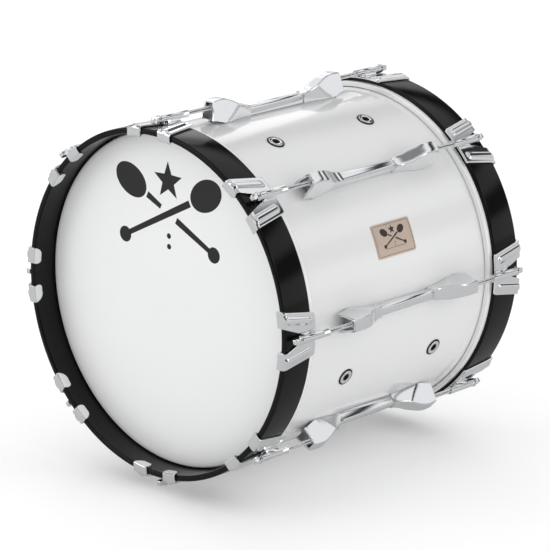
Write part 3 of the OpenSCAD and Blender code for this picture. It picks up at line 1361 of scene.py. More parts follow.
@dataclass
class Claws:
    """The sixteen claws: two hooked arms, a rib and the tube that guides the rod."""

    shop: Workshop
    gap: float = 0.3 * MM
    plate: float = 3.0 * MM
    overhang: float = 3.0 * MM
    bend: float = 4.2 * MM
    corner: float = 2.0 * MM
    edge: float = 0.7 * MM
    face: float = 2.7 * MM
    tab: float = 10.0 * MM
    tab_thickness: float = 2.3 * MM
    tab_roundness: float = 2.4
    tab_tip_share: float = 0.12
    rear_corner: float = 3.0 * MM
    wide: float = 35.0 * MM
    narrow: float = 25.5 * MM
    arm_in: float = 15.0 * MM
    notch_depth: float = 26.0 * MM
    notch: float = 6.0 * MM
    bead_wide: float = 11.0 * MM
    bead_high: float = 1.9 * MM
    bead_in: float = 7.0 * MM
    bead_from_edge: float = 9.6 * MM
    tube: float = 4.75 * MM
    bore: float = 2.85 * MM
    lip: float = 1.6 * MM
    lip_edge: float = 0.5 * MM
    waist: float = 0.25 * MM
    rib: float = 4.35 * MM
    tube_segments: int = 40

    def build(self) -> None:
        """Makes a claw once and places it at each station and end."""
        half = self._arm()
        other = half.copy()
        other.transform(Matrix.Scale(-1, 4, (0, 0, 1)))
        bmesh.ops.reverse_faces(other, faces=other.faces)
        claw = Shape.join([half, other, self._rib(), self._tube()])
        base = Shape.stored("claw_base", claw, 32.0)
        finish = self.shop.finishes.claw
        for end in End:
            for k in range(1, STATIONS + 1):
                name = f"claw_casting_{end.word}_{k}"
                piece = self.shop.place(name, base.data, finish, [end], station_angle(k))
                nodes = [f"claw_{end.word}_{k}"]
                self.shop.hand_in(piece, finish, "claw_chrome", f"{end.word}_claw_{k}", nodes)
        bpy.data.objects.remove(base)

    def _outer_side(self, y: float) -> float:
        """Gives how far an arm's outer side is from the rod's plane at a place y.

        Args:
            y: the place.

        Returns:
            The distance.
        """
        start = self.shop.sizes.hoop_start - self.overhang
        lean = (self.wide - self.narrow) / (self.shop.sizes.claw_end - start)
        left = max(self.rear_corner - (y - start), 0.0)
        drop = self.rear_corner - math.sqrt(max(self.rear_corner**2 - left**2, 0.0))
        return self.narrow + lean * (y - start) - drop

    def _inner_side(self, y: float) -> float:
        """Gives how far an arm's inner side is from the rod's plane at a place y.

        Args:
            y: the place.

        Returns:
            The distance.
        """
        bottom = self.shop.sizes.hoop_end - self.notch_depth
        if y <= bottom:
            return 0.0
        centre = bottom + self.notch
        if y < centre:
            return math.sqrt(self.notch**2 - (centre - y) ** 2)
        slope = (self.arm_in - self.notch) / (self.shop.sizes.claw_end - centre)
        return self.notch + slope * (y - centre)

    def _stations(self) -> list[float]:
        """Gives the places along the hoop where an arm's section is cut.

        They lie close together round the bead's end and round the notch's bottom.

        Returns:
            The places along Y, in order.
        """
        sizes = self.shop.sizes
        first = sizes.hoop_start - self.overhang + self.edge
        bottom, stop = sizes.hoop_end - self.notch_depth, sizes.claw_end - self.bend
        bead = sizes.hoop_start + self.bead_in
        wide = self.bead_wide / 2 + self.edge
        last = bottom + self.notch
        turns = [math.cos(math.radians(a)) for a in range(0, 90, 9)]
        before, between, after = 9, 8, 12
        return [
            *[first + t * (bead - wide - first) / before for t in range(before)],
            *[bead - wide * turn for turn in turns],
            *[bead + t * (bottom - bead) / between for t in range(between)],
            *[bottom + self.notch * (1 - turn) for turn in turns],
            *[last + t * (stop - last) / after for t in range(after + 1)],
        ]

    def _section(self, inset: float) -> list[tuple[Point, Point, float, float]]:
        """Gives the hook's section as pairs of points on its two faces.

        The pairs run from the shell's side, over the hoop and round the bend, to the
        round tip of the tab inside the hoop.

        Args:
            inset: how far both faces are moved towards each other.

        Returns:
            Each pair's outer point, inner point, share of the bead and share of the width.
        """
        sizes, corner, bend = self.shop.sizes, self.corner, self.bend
        low, high = sizes.hoop + self.gap + inset, sizes.hoop + self.gap + self.plate - inset
        end, face = sizes.claw_end - inset, sizes.claw_end - self.face + inset
        tab = sizes.hoop - sizes.hoop_thickness - self.gap
        tab_low, tab_high = tab - self.tab_thickness + inset, tab - inset
        start = sizes.hoop_start - self.overhang
        most_drop = 0.4
        pairs = []
        for a in (0, 30, 60):
            back, side = 1 - math.sin(math.radians(a)), 1 - math.cos(math.radians(a))
            y = start + inset * 0.5 + self.edge * side
            drop = min(self.edge * back, (high - low) * most_drop)
            pairs.append(((high - drop, y), (low + drop, y), 1.0, 1.0))
        for y in self._stations():
            pairs.append(((high, y), (low, min(y, face)), 1.0, 1.0))
        centre = (high - bend, end - bend)
        for point in arc(centre, bend, 0, 90, 10)[1:]:
            share = ease((centre[0] + bend - point[0]) / bend)
            pairs.append((point, (low, face), share, 1.0))
        far = tab_low + corner
        for t in (0.25, 0.5, 0.75, 1.0):
            outer = centre[0] + (far - centre[0]) * t
            pairs.append(((outer, end), (low + (tab_high - low) * t, face), 0.0, 1.0))
        for point in arc((far, end - corner), corner, 90, 180, 6)[1:]:
            pairs.append((point, (tab_high, face), 0.0, self._tab_share(point[1])))
        tip = (tab_high - tab_low) / 2
        foot = sizes.hoop_end - self.tab + tip
        for a in range(10, 91, 10):
            t = math.sin(math.radians(a))
            outer = end - corner + (foot - end + corner) * t
            inner = face + (foot - face) * t
            pairs.append(((tab_low, outer), (tab_high, inner), 0.0, self._tab_share(outer)))
        for a in (30, 60, 90):
            reach, y = tip * math.cos(math.radians(a)), foot - tip * math.sin(math.radians(a))
            middle = (tab_low + tab_high) / 2
            pairs.append(((middle - reach, y), (middle + reach, y), 0.0, self._tab_share(y)))
        return pairs

    def _tab_share(self, y: float) -> float:
        """Gives the share of the arm's width that the tab's round end has at a place y.

        Args:
            y: the place.

        Returns:
            The share, from 0 to 1.
        """
        sizes, tip = self.shop.sizes, self.tab_tip_share
        depth = (sizes.claw_end - y) / (sizes.claw_end - sizes.hoop_end + self.tab)
        left = 1.0 - min(max(depth, 0.0), 1.0) ** self.tab_roundness
        return math.sqrt(left) * (1.0 - tip) + tip

    def _columns(self) -> list[tuple[float, float, float]]:
        """Gives the columns across an arm: distance in, share beyond it, and inset.

        Returns:
            The columns, from the outer side to the inner side.
        """
        edge, middle, wide = self.edge, self.bead_from_edge, self.bead_wide / 2
        last, inner_edge = middle + wide * 1.2, 0.06
        turns = [math.radians(a) for a in (0, 30, 60, 90)]
        rounding = [(1 - math.cos(a), 1 - math.sin(a)) for a in turns]
        shares = (1.12, 1.0, 0.9, 0.78, 0.64, 0.48, 0.3, 0.15, 0.0)
        return [
            *[(edge * d, 0.0, edge * w) for d, w in rounding],
            *[((middle - wide) * t, 0.0, 0.0) for t in (0.45, 0.75)],
            *[(middle - wide * s, 0.0, 0.0) for s in shares],
            *[(middle + wide * s, 0.0, 0.0) for s in reversed(shares[:-1])],
            *[(last, t, 0.0) for t in (0.0, 0.25, 0.5, 0.75, 0.9)],
            *[(last, 1.0 - d * inner_edge, edge * w) for d, w in reversed(rounding)],
        ]

    def _bead(self, y: float, from_edge: float) -> float:
        """Gives the bead's height at a place on an arm.

        Args:
            y: the place along the hoop.
            from_edge: the distance from the arm's outer side.

        Returns:
            The height.
        """
        crown, flank = 0.3, 0.75
        start = self.shop.sizes.hoop_start + self.bead_in
        across = from_edge - self.bead_from_edge
        away = math.hypot(across, min(y - start, 0.0))
        wide = self.bead_wide / 2
        return self.bead_high * ease((away - wide * crown) / (wide * flank))

    def _arm(self) -> bmesh.types.BMesh:
        """Makes one arm as a closed plate that reaches the rod's plane.

        Returns:
            The mesh.
        """
        rows = []
        for depth, share, inset in self._columns():
            pairs = self._section(inset)
            outer, inner = [], []
            for (r0, y0), (r1, y1), bead, width in pairs:
                z0, z1 = (self._across(y, depth, share, width) for y in (y0, y1))
                from_edge = self._outer_side(y0) - z0
                outer.append(self._bent(r0 + bead * self._bead(y0, from_edge), y0, z0))
                inner.append(self._bent(r1, y1, z1))
            rows.append(outer + inner[::-1])
        mesh = Shape.skin(rows, False, True)
        mesh.verts.ensure_lookup_table()
        wide, half = len(rows[0]), len(rows[0]) // 2
        for first in (0, (len(rows) - 1) * wide):
            for i in range(half - 1):
                ring = (i, i + 1, wide - 2 - i, wide - 1 - i)
                mesh.faces.new([mesh.verts[first + j] for j in ring])
        return Shape.tidy(mesh, 2e-6)

    def _across(self, y: float, depth: float, share: float, width: float) -> float:
        """Gives a column's distance from the rod's plane at a place along an arm.

        Args:
            y: the place.
            depth: how far in the column is from the arm's outer side.
            share: how far it goes from there to the inner side.
            width: the share of its full width that the arm has here.

        Returns:
            The distance.
        """
        outer, inner = self._outer_side(y), self._inner_side(y)
        middle, place = (outer + inner) / 2, outer - depth
        return middle + (place + (inner - place) * share - middle) * width

    @staticmethod
    def _bent(radius: float, y: float, across: float) -> Vector:
        """Puts a point of a plate at its radius from the drum's axis."""
        return Vector((math.sqrt(radius**2 - across**2), y, across))

    def _rib(self) -> bmesh.types.BMesh:
        """Makes the rib that carries the tube, with a fillet along its foot.

        Returns:
            The mesh.
        """
        sizes = self.shop.sizes
        foot = sizes.hoop + self.gap + self.plate
        start, stop = sizes.hoop_start - self.overhang, sizes.hoop_end - self.notch_depth
        fillet = ((-1.5, 1.8), (0.0, 1.4), (0.5, 0.5), (1.4, 0.0))
        half = [(foot + up * MM, self.rib + out * MM) for up, out in fillet]
        half.append((sizes.rod_axis, self.rib))
        rounding = ((0.0, 0.7), (0.3, 0.3), (1.0, 0.0))
        levels = [(start + d * MM, pull * MM) for d, pull in rounding]
        levels += [(stop - d * MM, pull * MM) for d, pull in reversed(rounding)]
        rows = [Shape.both_sides([Vector((x, y, z - pull)) for x, z in half]) for y, pull in levels]
        return Shape.capped(rows)

    def _tube(self) -> bmesh.types.BMesh:
        """Makes the guide tube, with a bead round each end.

        Returns:
            The mesh.
        """
        sizes = self.shop.sizes
        start, stop = sizes.tube_start, sizes.tube_start + sizes.tube_length
        lip, edge, waist = self.lip, self.lip_edge, self.tube - self.waist
        profile = [
            (self.bore, start + edge), (self.bore + edge, start), (self.tube - edge, start),
            (self.tube, start + edge), (self.tube, start + lip), (waist, start + lip + edge),
            (waist, stop - lip - edge), (self.tube, stop - lip), (self.tube, stop - edge),
            (self.tube - edge, stop), (self.bore + edge, stop), (self.bore, stop - edge),
        ]
        return Shape.turned(profile, self.tube_segments, True, sizes.rod_axis)


@dataclass
class Rods:
    """The sixteen tension rods: thread, shank, washer, collar and square key head."""

    shop: Workshop
    rod: float = 2.78 * MM
    pitch: float = 1.058 * MM
    thread_depth: float = 0.5 * MM
    thread_length: float = 62 * MM
    washer: float = 5.6 * MM
    washer_thickness: float = 1.15 * MM
    collar: float = 5.0 * MM
    collar_length: float = 2.0 * MM
    key: float = 6.35 * MM
    key_corner: float = 0.8 * MM
    edge: float = 0.3 * MM
    gap: float = 0.05 * MM
    washer_fit: float = 0.07 * MM
    rings_per_turn: int = 6
    sides: int = 12
    segments: int = 40

    def build(self) -> None:
        """Makes a rod once and places it at each station and end."""
        sizes, edge = self.shop.sizes, self.edge
        low = sizes.tube_start + sizes.tube_length + self.gap
        high = low + self.washer_thickness
        collar = high + self.gap
        top = collar + self.collar_length
        bore = self.rod + self.washer_fit
        washer = [
            (bore, low), (self.washer - edge, low), (self.washer, low + edge),
            (self.washer, high - edge), (self.washer - edge, high), (bore, high),
        ]
        foot = sizes.rod_start + self.thread_length - self.pitch
        shank = [
            (0, foot), (self.rod, foot), (self.rod, collar),
            (self.collar - edge, collar), (self.collar, collar + edge),
            (self.collar, top - 2 * edge), (self.collar - 2 * edge, top), (0, top),
        ]
        rod = Shape.join([
            Shape.turned(washer, self.segments, True, sizes.rod_axis),
            Shape.turned(shank, self.segments, False, sizes.rod_axis),
            self._key(top - edge),
            self._thread(),
        ])
        base = Shape.stored("rod_base", rod)
        finish = self.shop.finishes.rod
        for end in End:
            for k in range(1, STATIONS + 1):
                name = f"key_rod_{end.word}_{k}"
                piece = self.shop.place(name, base.data, finish, [end], station_angle(k))
                nodes = [f"tension_rod_{end.word}_{k}"]
                self.shop.hand_in(piece, finish, "rod_chrome", f"{end.word}_rod_{k}", nodes)
        bpy.data.objects.remove(base)

    def _key(self, start: float) -> bmesh.types.BMesh:
        """Makes the square head, which narrows to a blunt end.

        Args:
            start: the place along Y where the head begins.

        Returns:
            The mesh.
        """
        stop, centre = self.shop.sizes.key_end, self.shop.sizes.rod_axis
        levels = ((start, 1.0), (stop - 1.2 * MM, 1.0), (stop - 0.4 * MM, 0.86), (stop, 0.62))
        rows = []
        for y, share in levels:
            half = self.key / 2 * share
            outline = rounded_box((-half, -half), (half, half), self.key_corner * share, 4)
            rows.append([Vector((centre + x, y, z)) for x, z in outline])
        return Shape.capped(rows)

    def _thread(self) -> bmesh.types.BMesh:
        """Makes the threaded length of the rod.

        Returns:
            The mesh.
        """
        piece = Shape.stored("thread", bmesh.new())
        self.shop.thread.run(
            piece,
            Start=self.shop.sizes.rod_start,
            Length=self.thread_length,
            Radius=self.rod,
            Depth=self.thread_depth,
            Pitch=self.pitch,
            Axis_Radius=self.shop.sizes.rod_axis,
            Rings=int(self.thread_length / self.pitch * self.rings_per_turn) + 1,
            Sides=self.sides + 1,
            Material=self.shop.finishes.rod,
        )
        mesh = bmesh.new()
        mesh.from_mesh(piece.data)
        bpy.data.objects.remove(piece)
        return mesh


# ---- lugs --------------------------------------------------------------------------


@dataclass
class Lugs:
    """The eight lugs: two hollow cast ends, the bar between them and their nuts."""

    shop: Workshop
    mouth: float = 116.5 * MM
    length: float = 69.0 * MM
    rake: float = 5.0 * MM
    base_wide: float = 25.4 * MM
    neck_wide: float = 14.0 * MM
    neck_high: float = 13.2 * MM
    lean: float = 0.19
    hump: float = 18.0 * MM
    dip: float = 2.0 * MM
    wall: float = 2.6 * MM
    seat: float = 0.6 * MM
    arch: float = 24.0 * MM
    arch_high: float = 5.0 * MM
    round: float = 1.5 * MM
    least_round: float = 0.3 * MM
    lip: float = 0.45 * MM
    web: float = 16.5 * MM
    web_thickness: float = 3.0 * MM
    nut_neck: float = 4.1 * MM
    nut_flange: float = 5.5 * MM
    nut_flange_thickness: float = 5.0 * MM
    nut_bore: float = 2.85 * MM
    nut_edge: float = 0.4 * MM
    nut_segments: int = 36
    bar_wide: float = 12.0 * MM
    bar_chamfer: float = 2.2 * MM
    bar_low: float = 0.45 * MM
    bar_soft: float = 0.25 * MM
    seam: float = 0.25 * MM
    gap: float = 0.05 * MM
    rows: int = 44
    row_spread: float = 1.25

    def build(self) -> None:
        """Makes a cast end, a bar and a nut once, and places them all."""
        shop, finishes = self.shop, self.shop.finishes
        cast = Shape.stored("cast_base", self._casting(), 28.0)
        for k in range(1, STATIONS + 1):
            name = f"lug_casting_{k}"
            piece = shop.place(name, cast.data, finishes.casting, BOTH, station_angle(k))
            shop.hand_in(piece, finishes.casting, "lug_chrome", nodes=[f"lug_{k}"])
        web = Shape.stored("web_base", self._web(), 30.0)
        piece = shop.place("lug_web_set", web.data, finishes.web, BOTH, TOP_ANGLE, STATIONS)
        shop.hand_in(piece, finishes.web, "lug_chrome")
        bar = Shape.stored("bar_base", self._bar(), 30.0)
        nut = Shape.stored("nut_base", self._nut(), 30.0)
        once = [End.REAR]
        piece = shop.place("lug_bar_set", bar.data, finishes.casting, once, TOP_ANGLE, STATIONS)
        shop.hand_in(piece, finishes.casting, "lug_chrome", nodes=["lug_bars"])
        piece = shop.place("swivel_nut_set", nut.data, finishes.nut, BOTH, TOP_ANGLE, STATIONS)
        shop.hand_in(piece, finishes.nut, "nut_brass", nodes=["swivel_nuts"])
        for base in (cast, web, bar, nut):
            bpy.data.objects.remove(base)
        shop.dress_node("lug_gaskets", finishes.gasket)
        shop.dress_node("lug_screws", finishes.zinc)
        shop.dress_node("lug_washers", finishes.zinc)

    def _fall(self, s: float) -> float:
        """Gives the hump's share, from 1 near the mouth to 0 at the neck."""
        return ease((s - self.hump) / (self.length - self.hump))

    def _back(self, s: float) -> float:
        """Gives the radius of a cast end's back at a distance from its mouth."""
        foot, top = self.shop.sizes.covering + self.neck_high, self.shop.sizes.lug_top
        dip = self.dip * max(0.0, 1 - s / self.hump) ** 2
        return foot + (top - foot) * self._fall(s) - dip

    def _side(self, s: float, radius: float) -> float:
        """Gives half a cast end's width at a distance from its mouth and a radius."""
        plan = (self.neck_wide + (self.base_wide - self.neck_wide) * self._fall(s)) / 2
        rise = radius - self.shop.sizes.covering - self.seat
        return min(plan, self.base_wide / 2 - self.lean * rise)

    def _section(self, share: float, inset: float, past: float = 0.0) -> list[Vector]:
        """Gives one cross-section of a cast end, from foot to foot over its back.

        Args:
            share: 0 at the mouth, 1 at the neck.
            inset: how far the walls and the back are moved in.
            past: how far the section is moved out along the drum's axis.

        Returns:
            The section's points.
        """
        sizes = self.shop.sizes
        seat = sizes.covering + self.seat
        high = self._back(self.rake + (self.length - self.rake) * share) - inset
        corner = max(self.round - inset, self.least_round)
        points = []
        for t in (0.0, 0.12, 0.3, 0.5, 0.72, 0.9, 1.0):
            radius = seat + (high - corner - seat) * t
            s = self._lag(radius, high, share)
            radius = max(radius, self._foot(s))
            points.append((radius, self._side(s, radius) - inset, s))
        wall = points[-1][1]
        for a in (22.5, 45, 67.5, 90):
            turn = math.radians(a)
            radius = high - corner + corner * math.sin(turn)
            s = self._lag(radius, high, share)
            points.append((radius, wall - corner + corner * math.cos(turn), s))
        points.append((high, (wall - corner) * 0.5, points[-1][2]))
        right = [Vector((x, self.mouth - s + past, z)) for x, z, s in points]
        right[0].x = max(right[0].x, math.sqrt(seat**2 - right[0].z ** 2))
        crown = Vector((high, right[-1].y, 0))
        return [*right, crown, *[Vector((v.x, v.y, -v.z)) for v in reversed(right)]]

    def _lag(self, radius: float, high: float, share: float) -> float:
        """Gives the distance from the mouth of a point, whose mouth leans back."""
        seat = self.shop.sizes.covering + self.seat
        lean = self.rake * (radius - seat) / (high - seat)
        return lean + (self.length - lean) * share

    def _foot(self, s: float) -> float:
        """Gives the lowest radius of a side wall, under the arch at the mouth."""
        if s >= self.arch:
            return 0.0
        return self.shop.sizes.covering + self.seat + self.arch_high * ease(s / self.arch)

    def _casting(self) -> bmesh.types.BMesh:
        """Makes the hollow shell of a cast end, open at its mouth and below.

        Returns:
            The mesh.
        """
        spaced = [(i / self.rows) ** self.row_spread for i in range(self.rows + 1)]
        lip, deepest = self.lip, 0.965
        rows = [
            self._section(0.0, lip),
            self._section(0.0, lip * 0.35, -lip * 0.3),
            self._section(0.0, 0.0, -lip),
            *[self._section(t, 0.0) for t in spaced[1:]],
            self._section(1.0, self.wall),
            *[self._section(min(t, deepest), self.wall) for t in reversed(spaced)],
            self._section(0.0, self.wall),
        ]
        mesh = Shape.skin(rows, False, False)
        mesh.verts.ensure_lookup_table()
        wide = len(rows[0])
        grid = [[mesh.verts[i * wide + j] for j in range(wide)] for i in range(len(rows))]
        for j in range(wide - 1):
            mesh.faces.new((grid[-1][j], grid[-1][j + 1], grid[0][j + 1], grid[0][j]))
        for i in range(len(rows) // 2):
            k = len(rows) - 1 - i
            near, far = i + 1, k - 1
            if far <= near:
                break
            for j in (0, wide - 1):
                mesh.faces.new((grid[i][j], grid[near][j], grid[far][j], grid[k][j]))
        return Shape.tidy(mesh)

    def _web(self) -> bmesh.types.BMesh:
        """Makes the web inside the mouth, with the hole that the nut's neck passes.

        Returns:
            The mesh.
        """
        into_wall, fit, sweep = 0.3 * MM, 0.15 * MM, 240.0
        section = self._section(self.web / self.length, self.wall - into_wall)
        outline = [(v.x, v.z) for v in section]
        axis, hole = self.shop.sizes.rod_axis, self.nut_neck + fit
        last = len(outline) - 1
        turns = [math.radians(sweep * (i / last - 0.5)) for i in range(last + 1)]
        ring = [(axis + hole * math.cos(a), -hole * math.sin(a)) for a in turns]
        near = self.mouth - self.web
        far = near + self.web_thickness
        corners = ((near, outline), (far, outline), (far, ring), (near, ring))
        rows = [[Vector((x, y, z)) for x, z in loop] for y, loop in corners]
        return Shape.tidy(Shape.skin(rows, True, True))

    def _bar(self) -> bmesh.types.BMesh:
        """Makes the chamfered bar, drawn in a little at each end where it meets a cast end.

        Returns:
            The mesh.
        """
        sizes, side, chamfer = self.shop.sizes, self.bar_wide / 2, self.bar_chamfer
        low, high = sizes.covering + self.bar_low, sizes.bar
        soft, seam = self.bar_soft, self.seam
        half = [
            (low, side), (high - chamfer - soft, side), (high - chamfer, side - soft * 0.3),
            (high - soft, side - chamfer + soft * 0.7), (high, side - chamfer - soft),
            (high, side * 0.3),
        ]
        stop = self.mouth - self.length - self.gap
        rounding = ((0.0, seam), (seam, 0.25 * seam), (2 * seam, 0.0))
        levels = [(d - stop, pull) for d, pull in rounding]
        levels += [(stop - d, pull) for d, pull in reversed(rounding)]
        rows = []
        for y, pull in levels:
            right = [Vector((x - pull * (x > low), y, z - pull)) for x, z in half]
            rows.append(Shape.both_sides(right))
        return Shape.capped(rows)

    def _nut(self) -> bmesh.types.BMesh:
        """Makes a swivel nut, whose flange bears behind the web.

        Returns:
            The mesh.
        """
        past_rod, inside_mouth = 2.0 * MM, 3.5 * MM
        axis, start = self.shop.sizes.rod_axis, self.shop.sizes.rod_start + past_rod
        stop = self.mouth - self.rake - inside_mouth
        bore, neck, flange, edge = self.nut_bore, self.nut_neck, self.nut_flange, self.nut_edge
        high = self.mouth - self.web - self.gap
        low = high - self.nut_flange_thickness
        profile = [
            (bore, start), (neck, start), (neck, low), (flange - edge, low), (flange, low + edge),
            (flange, high - edge), (flange - edge, high), (neck, high), (neck, stop - edge),
            (neck - edge, stop), (bore + edge, stop), (bore, stop - edge),
        ]
        return Shape.turned(profile, self.nut_segments, True, axis)


# ---- carrier inserts ---------------------------------------------------------------


@dataclass
class Inserts:
    """The four threaded inserts that a carrier bolts to, with their rubber rings."""

    shop: Workshop
    bore: float = 4.0 * MM
    barrel: float = 6.4 * MM
    depth: float = 15.0 * MM
    flange: float = 9.0 * MM
    flange_gap: float = 0.05 * MM
    flange_high: float = 1.5 * MM
    ring_in: float = 9.05 * MM
    ring: float = 11.0 * MM
    flange_soft: float = 0.5 * MM
    ring_high: float = 1.1 * MM
    ring_soft: float = 0.8 * MM
    ring_edge: float = 0.3 * MM
    pitch: float = 1.25 * MM
    groove: float = 0.5 * MM
    bush_segments: int = 64
    ring_segments: int = 72

    def build(self) -> None:
        """Makes the bushes and the rings, and dresses the nuts behind them."""
        shop, finishes = self.shop, self.shop.finishes
        top = Matrix.Translation((0, INSERT_PLACE, 0)) @ Matrix.Rotation(QUARTER_TURN, 4, "Y")
        bush_mesh = Shape.spun(self._bush(), self.bush_segments, top, True)
        bush = Shape.stored("bush_base", bush_mesh, 32.0)
        ring_mesh = Shape.spun(self._ring(), self.ring_segments, top, True)
        self._bend(ring_mesh)
        ring = Shape.stored("ring_base", ring_mesh, 40.0)
        kinds = (
            ("insert_bush_set", bush, finishes.insert, "insert_chrome", "insert_bushes"),
            ("insert_ring_set", ring, finishes.ring, "ring_rubber", "insert_rings"),
        )
        for name, base, finish, slot, node in kinds:
            piece = shop.place(name, base.data, finish, BOTH, INSERT_ANGLE, 2, INSERT_STEP)
            shop.hand_in(piece, finish, slot, nodes=[node])
            bpy.data.objects.remove(base)
        shop.dress_node("insert_nuts", finishes.zinc)

    def _bush(self) -> list[Point]:
        """Gives a bush's section, with thread grooves inside its bore.

        Returns:
            The section's points.
        """
        seat = self.shop.sizes.covering + self.flange_gap
        top, low = seat + self.flange_high, seat - self.depth
        soft, bore = self.flange_soft, self.bore
        countersink = ((1.3, 0.0), (1.0, 0.15), (0.1, 1.1))
        section = [
            (bore, low), (self.barrel, low), (self.barrel, seat), (self.flange, seat),
            *arc((self.flange - soft, top - soft), soft, 0, 90, 5),
            *[(bore + out * MM, top - down * MM) for out, down in countersink],
        ]
        first_groove, plain_foot = 1.4 * MM, 2.0 * MM
        for i in range(int((self.depth - plain_foot) / self.pitch)):
            level = top - first_groove - i * self.pitch
            section += [(bore, level), (bore + self.groove, level - self.pitch / 2)]
        return section

    def _ring(self) -> list[Point]:
        """Gives a rubber ring's rounded section.

        Returns:
            The section's points.
        """
        low, high = self.shop.sizes.covering, self.shop.sizes.covering + self.ring_high
        soft, edge = self.ring_soft, self.ring_edge
        return [
            (self.ring_in, low),
            (self.ring, low),
            *arc((self.ring - soft, high - soft), soft, 0, 90, 5),
            *arc((self.ring_in + edge, high - edge), edge, 90, 180, 3),
        ]

    def _bend(self, mesh: bmesh.types.BMesh) -> None:
        """Lays a flat-bottomed ring's foot on the round covering.

        Args:
            mesh: the ring, which is changed.
        """
        low, high = self.shop.sizes.covering, self.shop.sizes.covering + self.ring_high
        for vertex in mesh.verts:
            share = min(max((high - vertex.co.x) / (high - low), 0.0), 1.0)
            drop = low - math.sqrt(low**2 - vertex.co.z**2)
            vertex.co.x -= drop * share


# ---- emblem and badge --------------------------------------------------------------


@dataclass
class Emblem:
    """A generic percussion mark: two crossed mallets under a five-pointed star."""

    wide: float = 178 * MM
    tilt: float = 27.0
    shaft: float = 8.5 * MM
    felt: tuple[float, float] = (27 * MM, 19 * MM)
    knob_in: float = 9 * MM
    star: float = 24 * MM
    star_waist: float = 0.42
    dot: float = 3.4 * MM
    dot_step: float = 13 * MM
    gap: float = 3.0 * MM
    thickness: float = 0.05 * MM

    def flat(self, scale: float = 1.0) -> bmesh.types.BMesh:
        """Draws the mark in the plane of (X, Z), with its back at Y = 0.

        Args:
            scale: how much smaller it is than the one on the head.

        Returns:
            The mesh, whose parts don't overlap.
        """
        rise = self.wide / 2 * math.sin(math.radians(self.tilt))
        outlines = [
            *self._mallet(1),
            *self._mallet(-1),
            self._star(Vector((0, rise * 0.98))),
            *[self._round(Vector((0, i * self.dot_step - rise)), self.dot, 24) for i in range(2)],
        ]
        return Shape.join(self.prism([point * scale for point in outline]) for outline in outlines)

    def _mallet(self, side: int) -> list[list[Vector]]:
        """Draws a mallet: its felt, its shaft and the knob at its foot.

        Args:
            side: 1 for the whole one, whose felt is at +X; -1 for the one that it covers.

        Returns:
            The outlines, in which the covered shaft has a gap where the other crosses it.
        """
        tilt = math.radians(self.tilt)
        along = Vector((side * math.cos(tilt), math.sin(tilt)))
        across = Vector((-along.y, along.x))
        felt, tall = self.felt
        length = (self.wide / 2 - felt) / math.cos(tilt)
        head, foot = along * length, -along * length * 1.06
        turns = [math.radians(a) for a in range(0, 360, 10)]
        cap = [head + along * felt * math.cos(a) + across * tall * math.sin(a) for a in turns]
        neck = head - along * (felt + self.gap)
        crossing = along * (self.shaft / math.sin(2 * tilt) + self.gap * 1.2)
        spans = [(neck, foot)] if side == 1 else [(neck, crossing), (-crossing, foot)]
        knob = self._round(foot - along * self.knob_in, self.shaft * 1.15, 36)
        return [cap, *[self._bar(near, far, across) for near, far in spans], knob]

    def _bar(self, near: Vector, far: Vector, across: Vector) -> list[Vector]:
        """Draws a shaft that is a little thicker near the felt."""
        thick, thin = across * self.shaft / 2, across * self.shaft * 0.38
        return [near + thick, far + thin, far - thin, near - thick]

    def _star(self, middle: Vector) -> list[Vector]:
        """Draws the five-pointed star.

        Args:
            middle: where its middle is.

        Returns:
            The outline.
        """
        shares = (1.0, self.star_waist)
        turns = [math.radians(36 * i) for i in range(10)]
        tips = [Vector((math.sin(a), math.cos(a))) for a in turns]
        return [middle + tip * self.star * shares[i % 2] for i, tip in enumerate(tips)]

    @staticmethod
    def _round(middle: Vector, radius: float, sides: int) -> list[Vector]:
        """Draws a round dot."""
        turns = [math.radians(360 / sides * i) for i in range(sides)]
        return [middle + Vector((math.cos(a), math.sin(a))) * radius for a in turns]

    def prism(self, outline: list[Vector]) -> bmesh.types.BMesh:
        """Gives an outline a thickness along -Y.

        Args:
            outline: the outline's points, in X and Z.

        Returns:
            The mesh.
        """
        mesh = bmesh.new()
        back = [mesh.verts.new((p.x, 0, p.y)) for p in outline]
        front = [mesh.verts.new((p.x, -self.thickness, p.y)) for p in outline]
        mesh.faces.new(back)
        mesh.faces.new(front)
        for i in range(len(outline)):
            k = (i + 1) % len(outline)
            mesh.faces.new((back[i], back[k], front[k], front[i]))
        bmesh.ops.recalc_face_normals(mesh, faces=mesh.faces)
        bmesh.ops.triangulate(mesh, faces=[f for f in mesh.faces if len(f.verts) > 4])
        return mesh


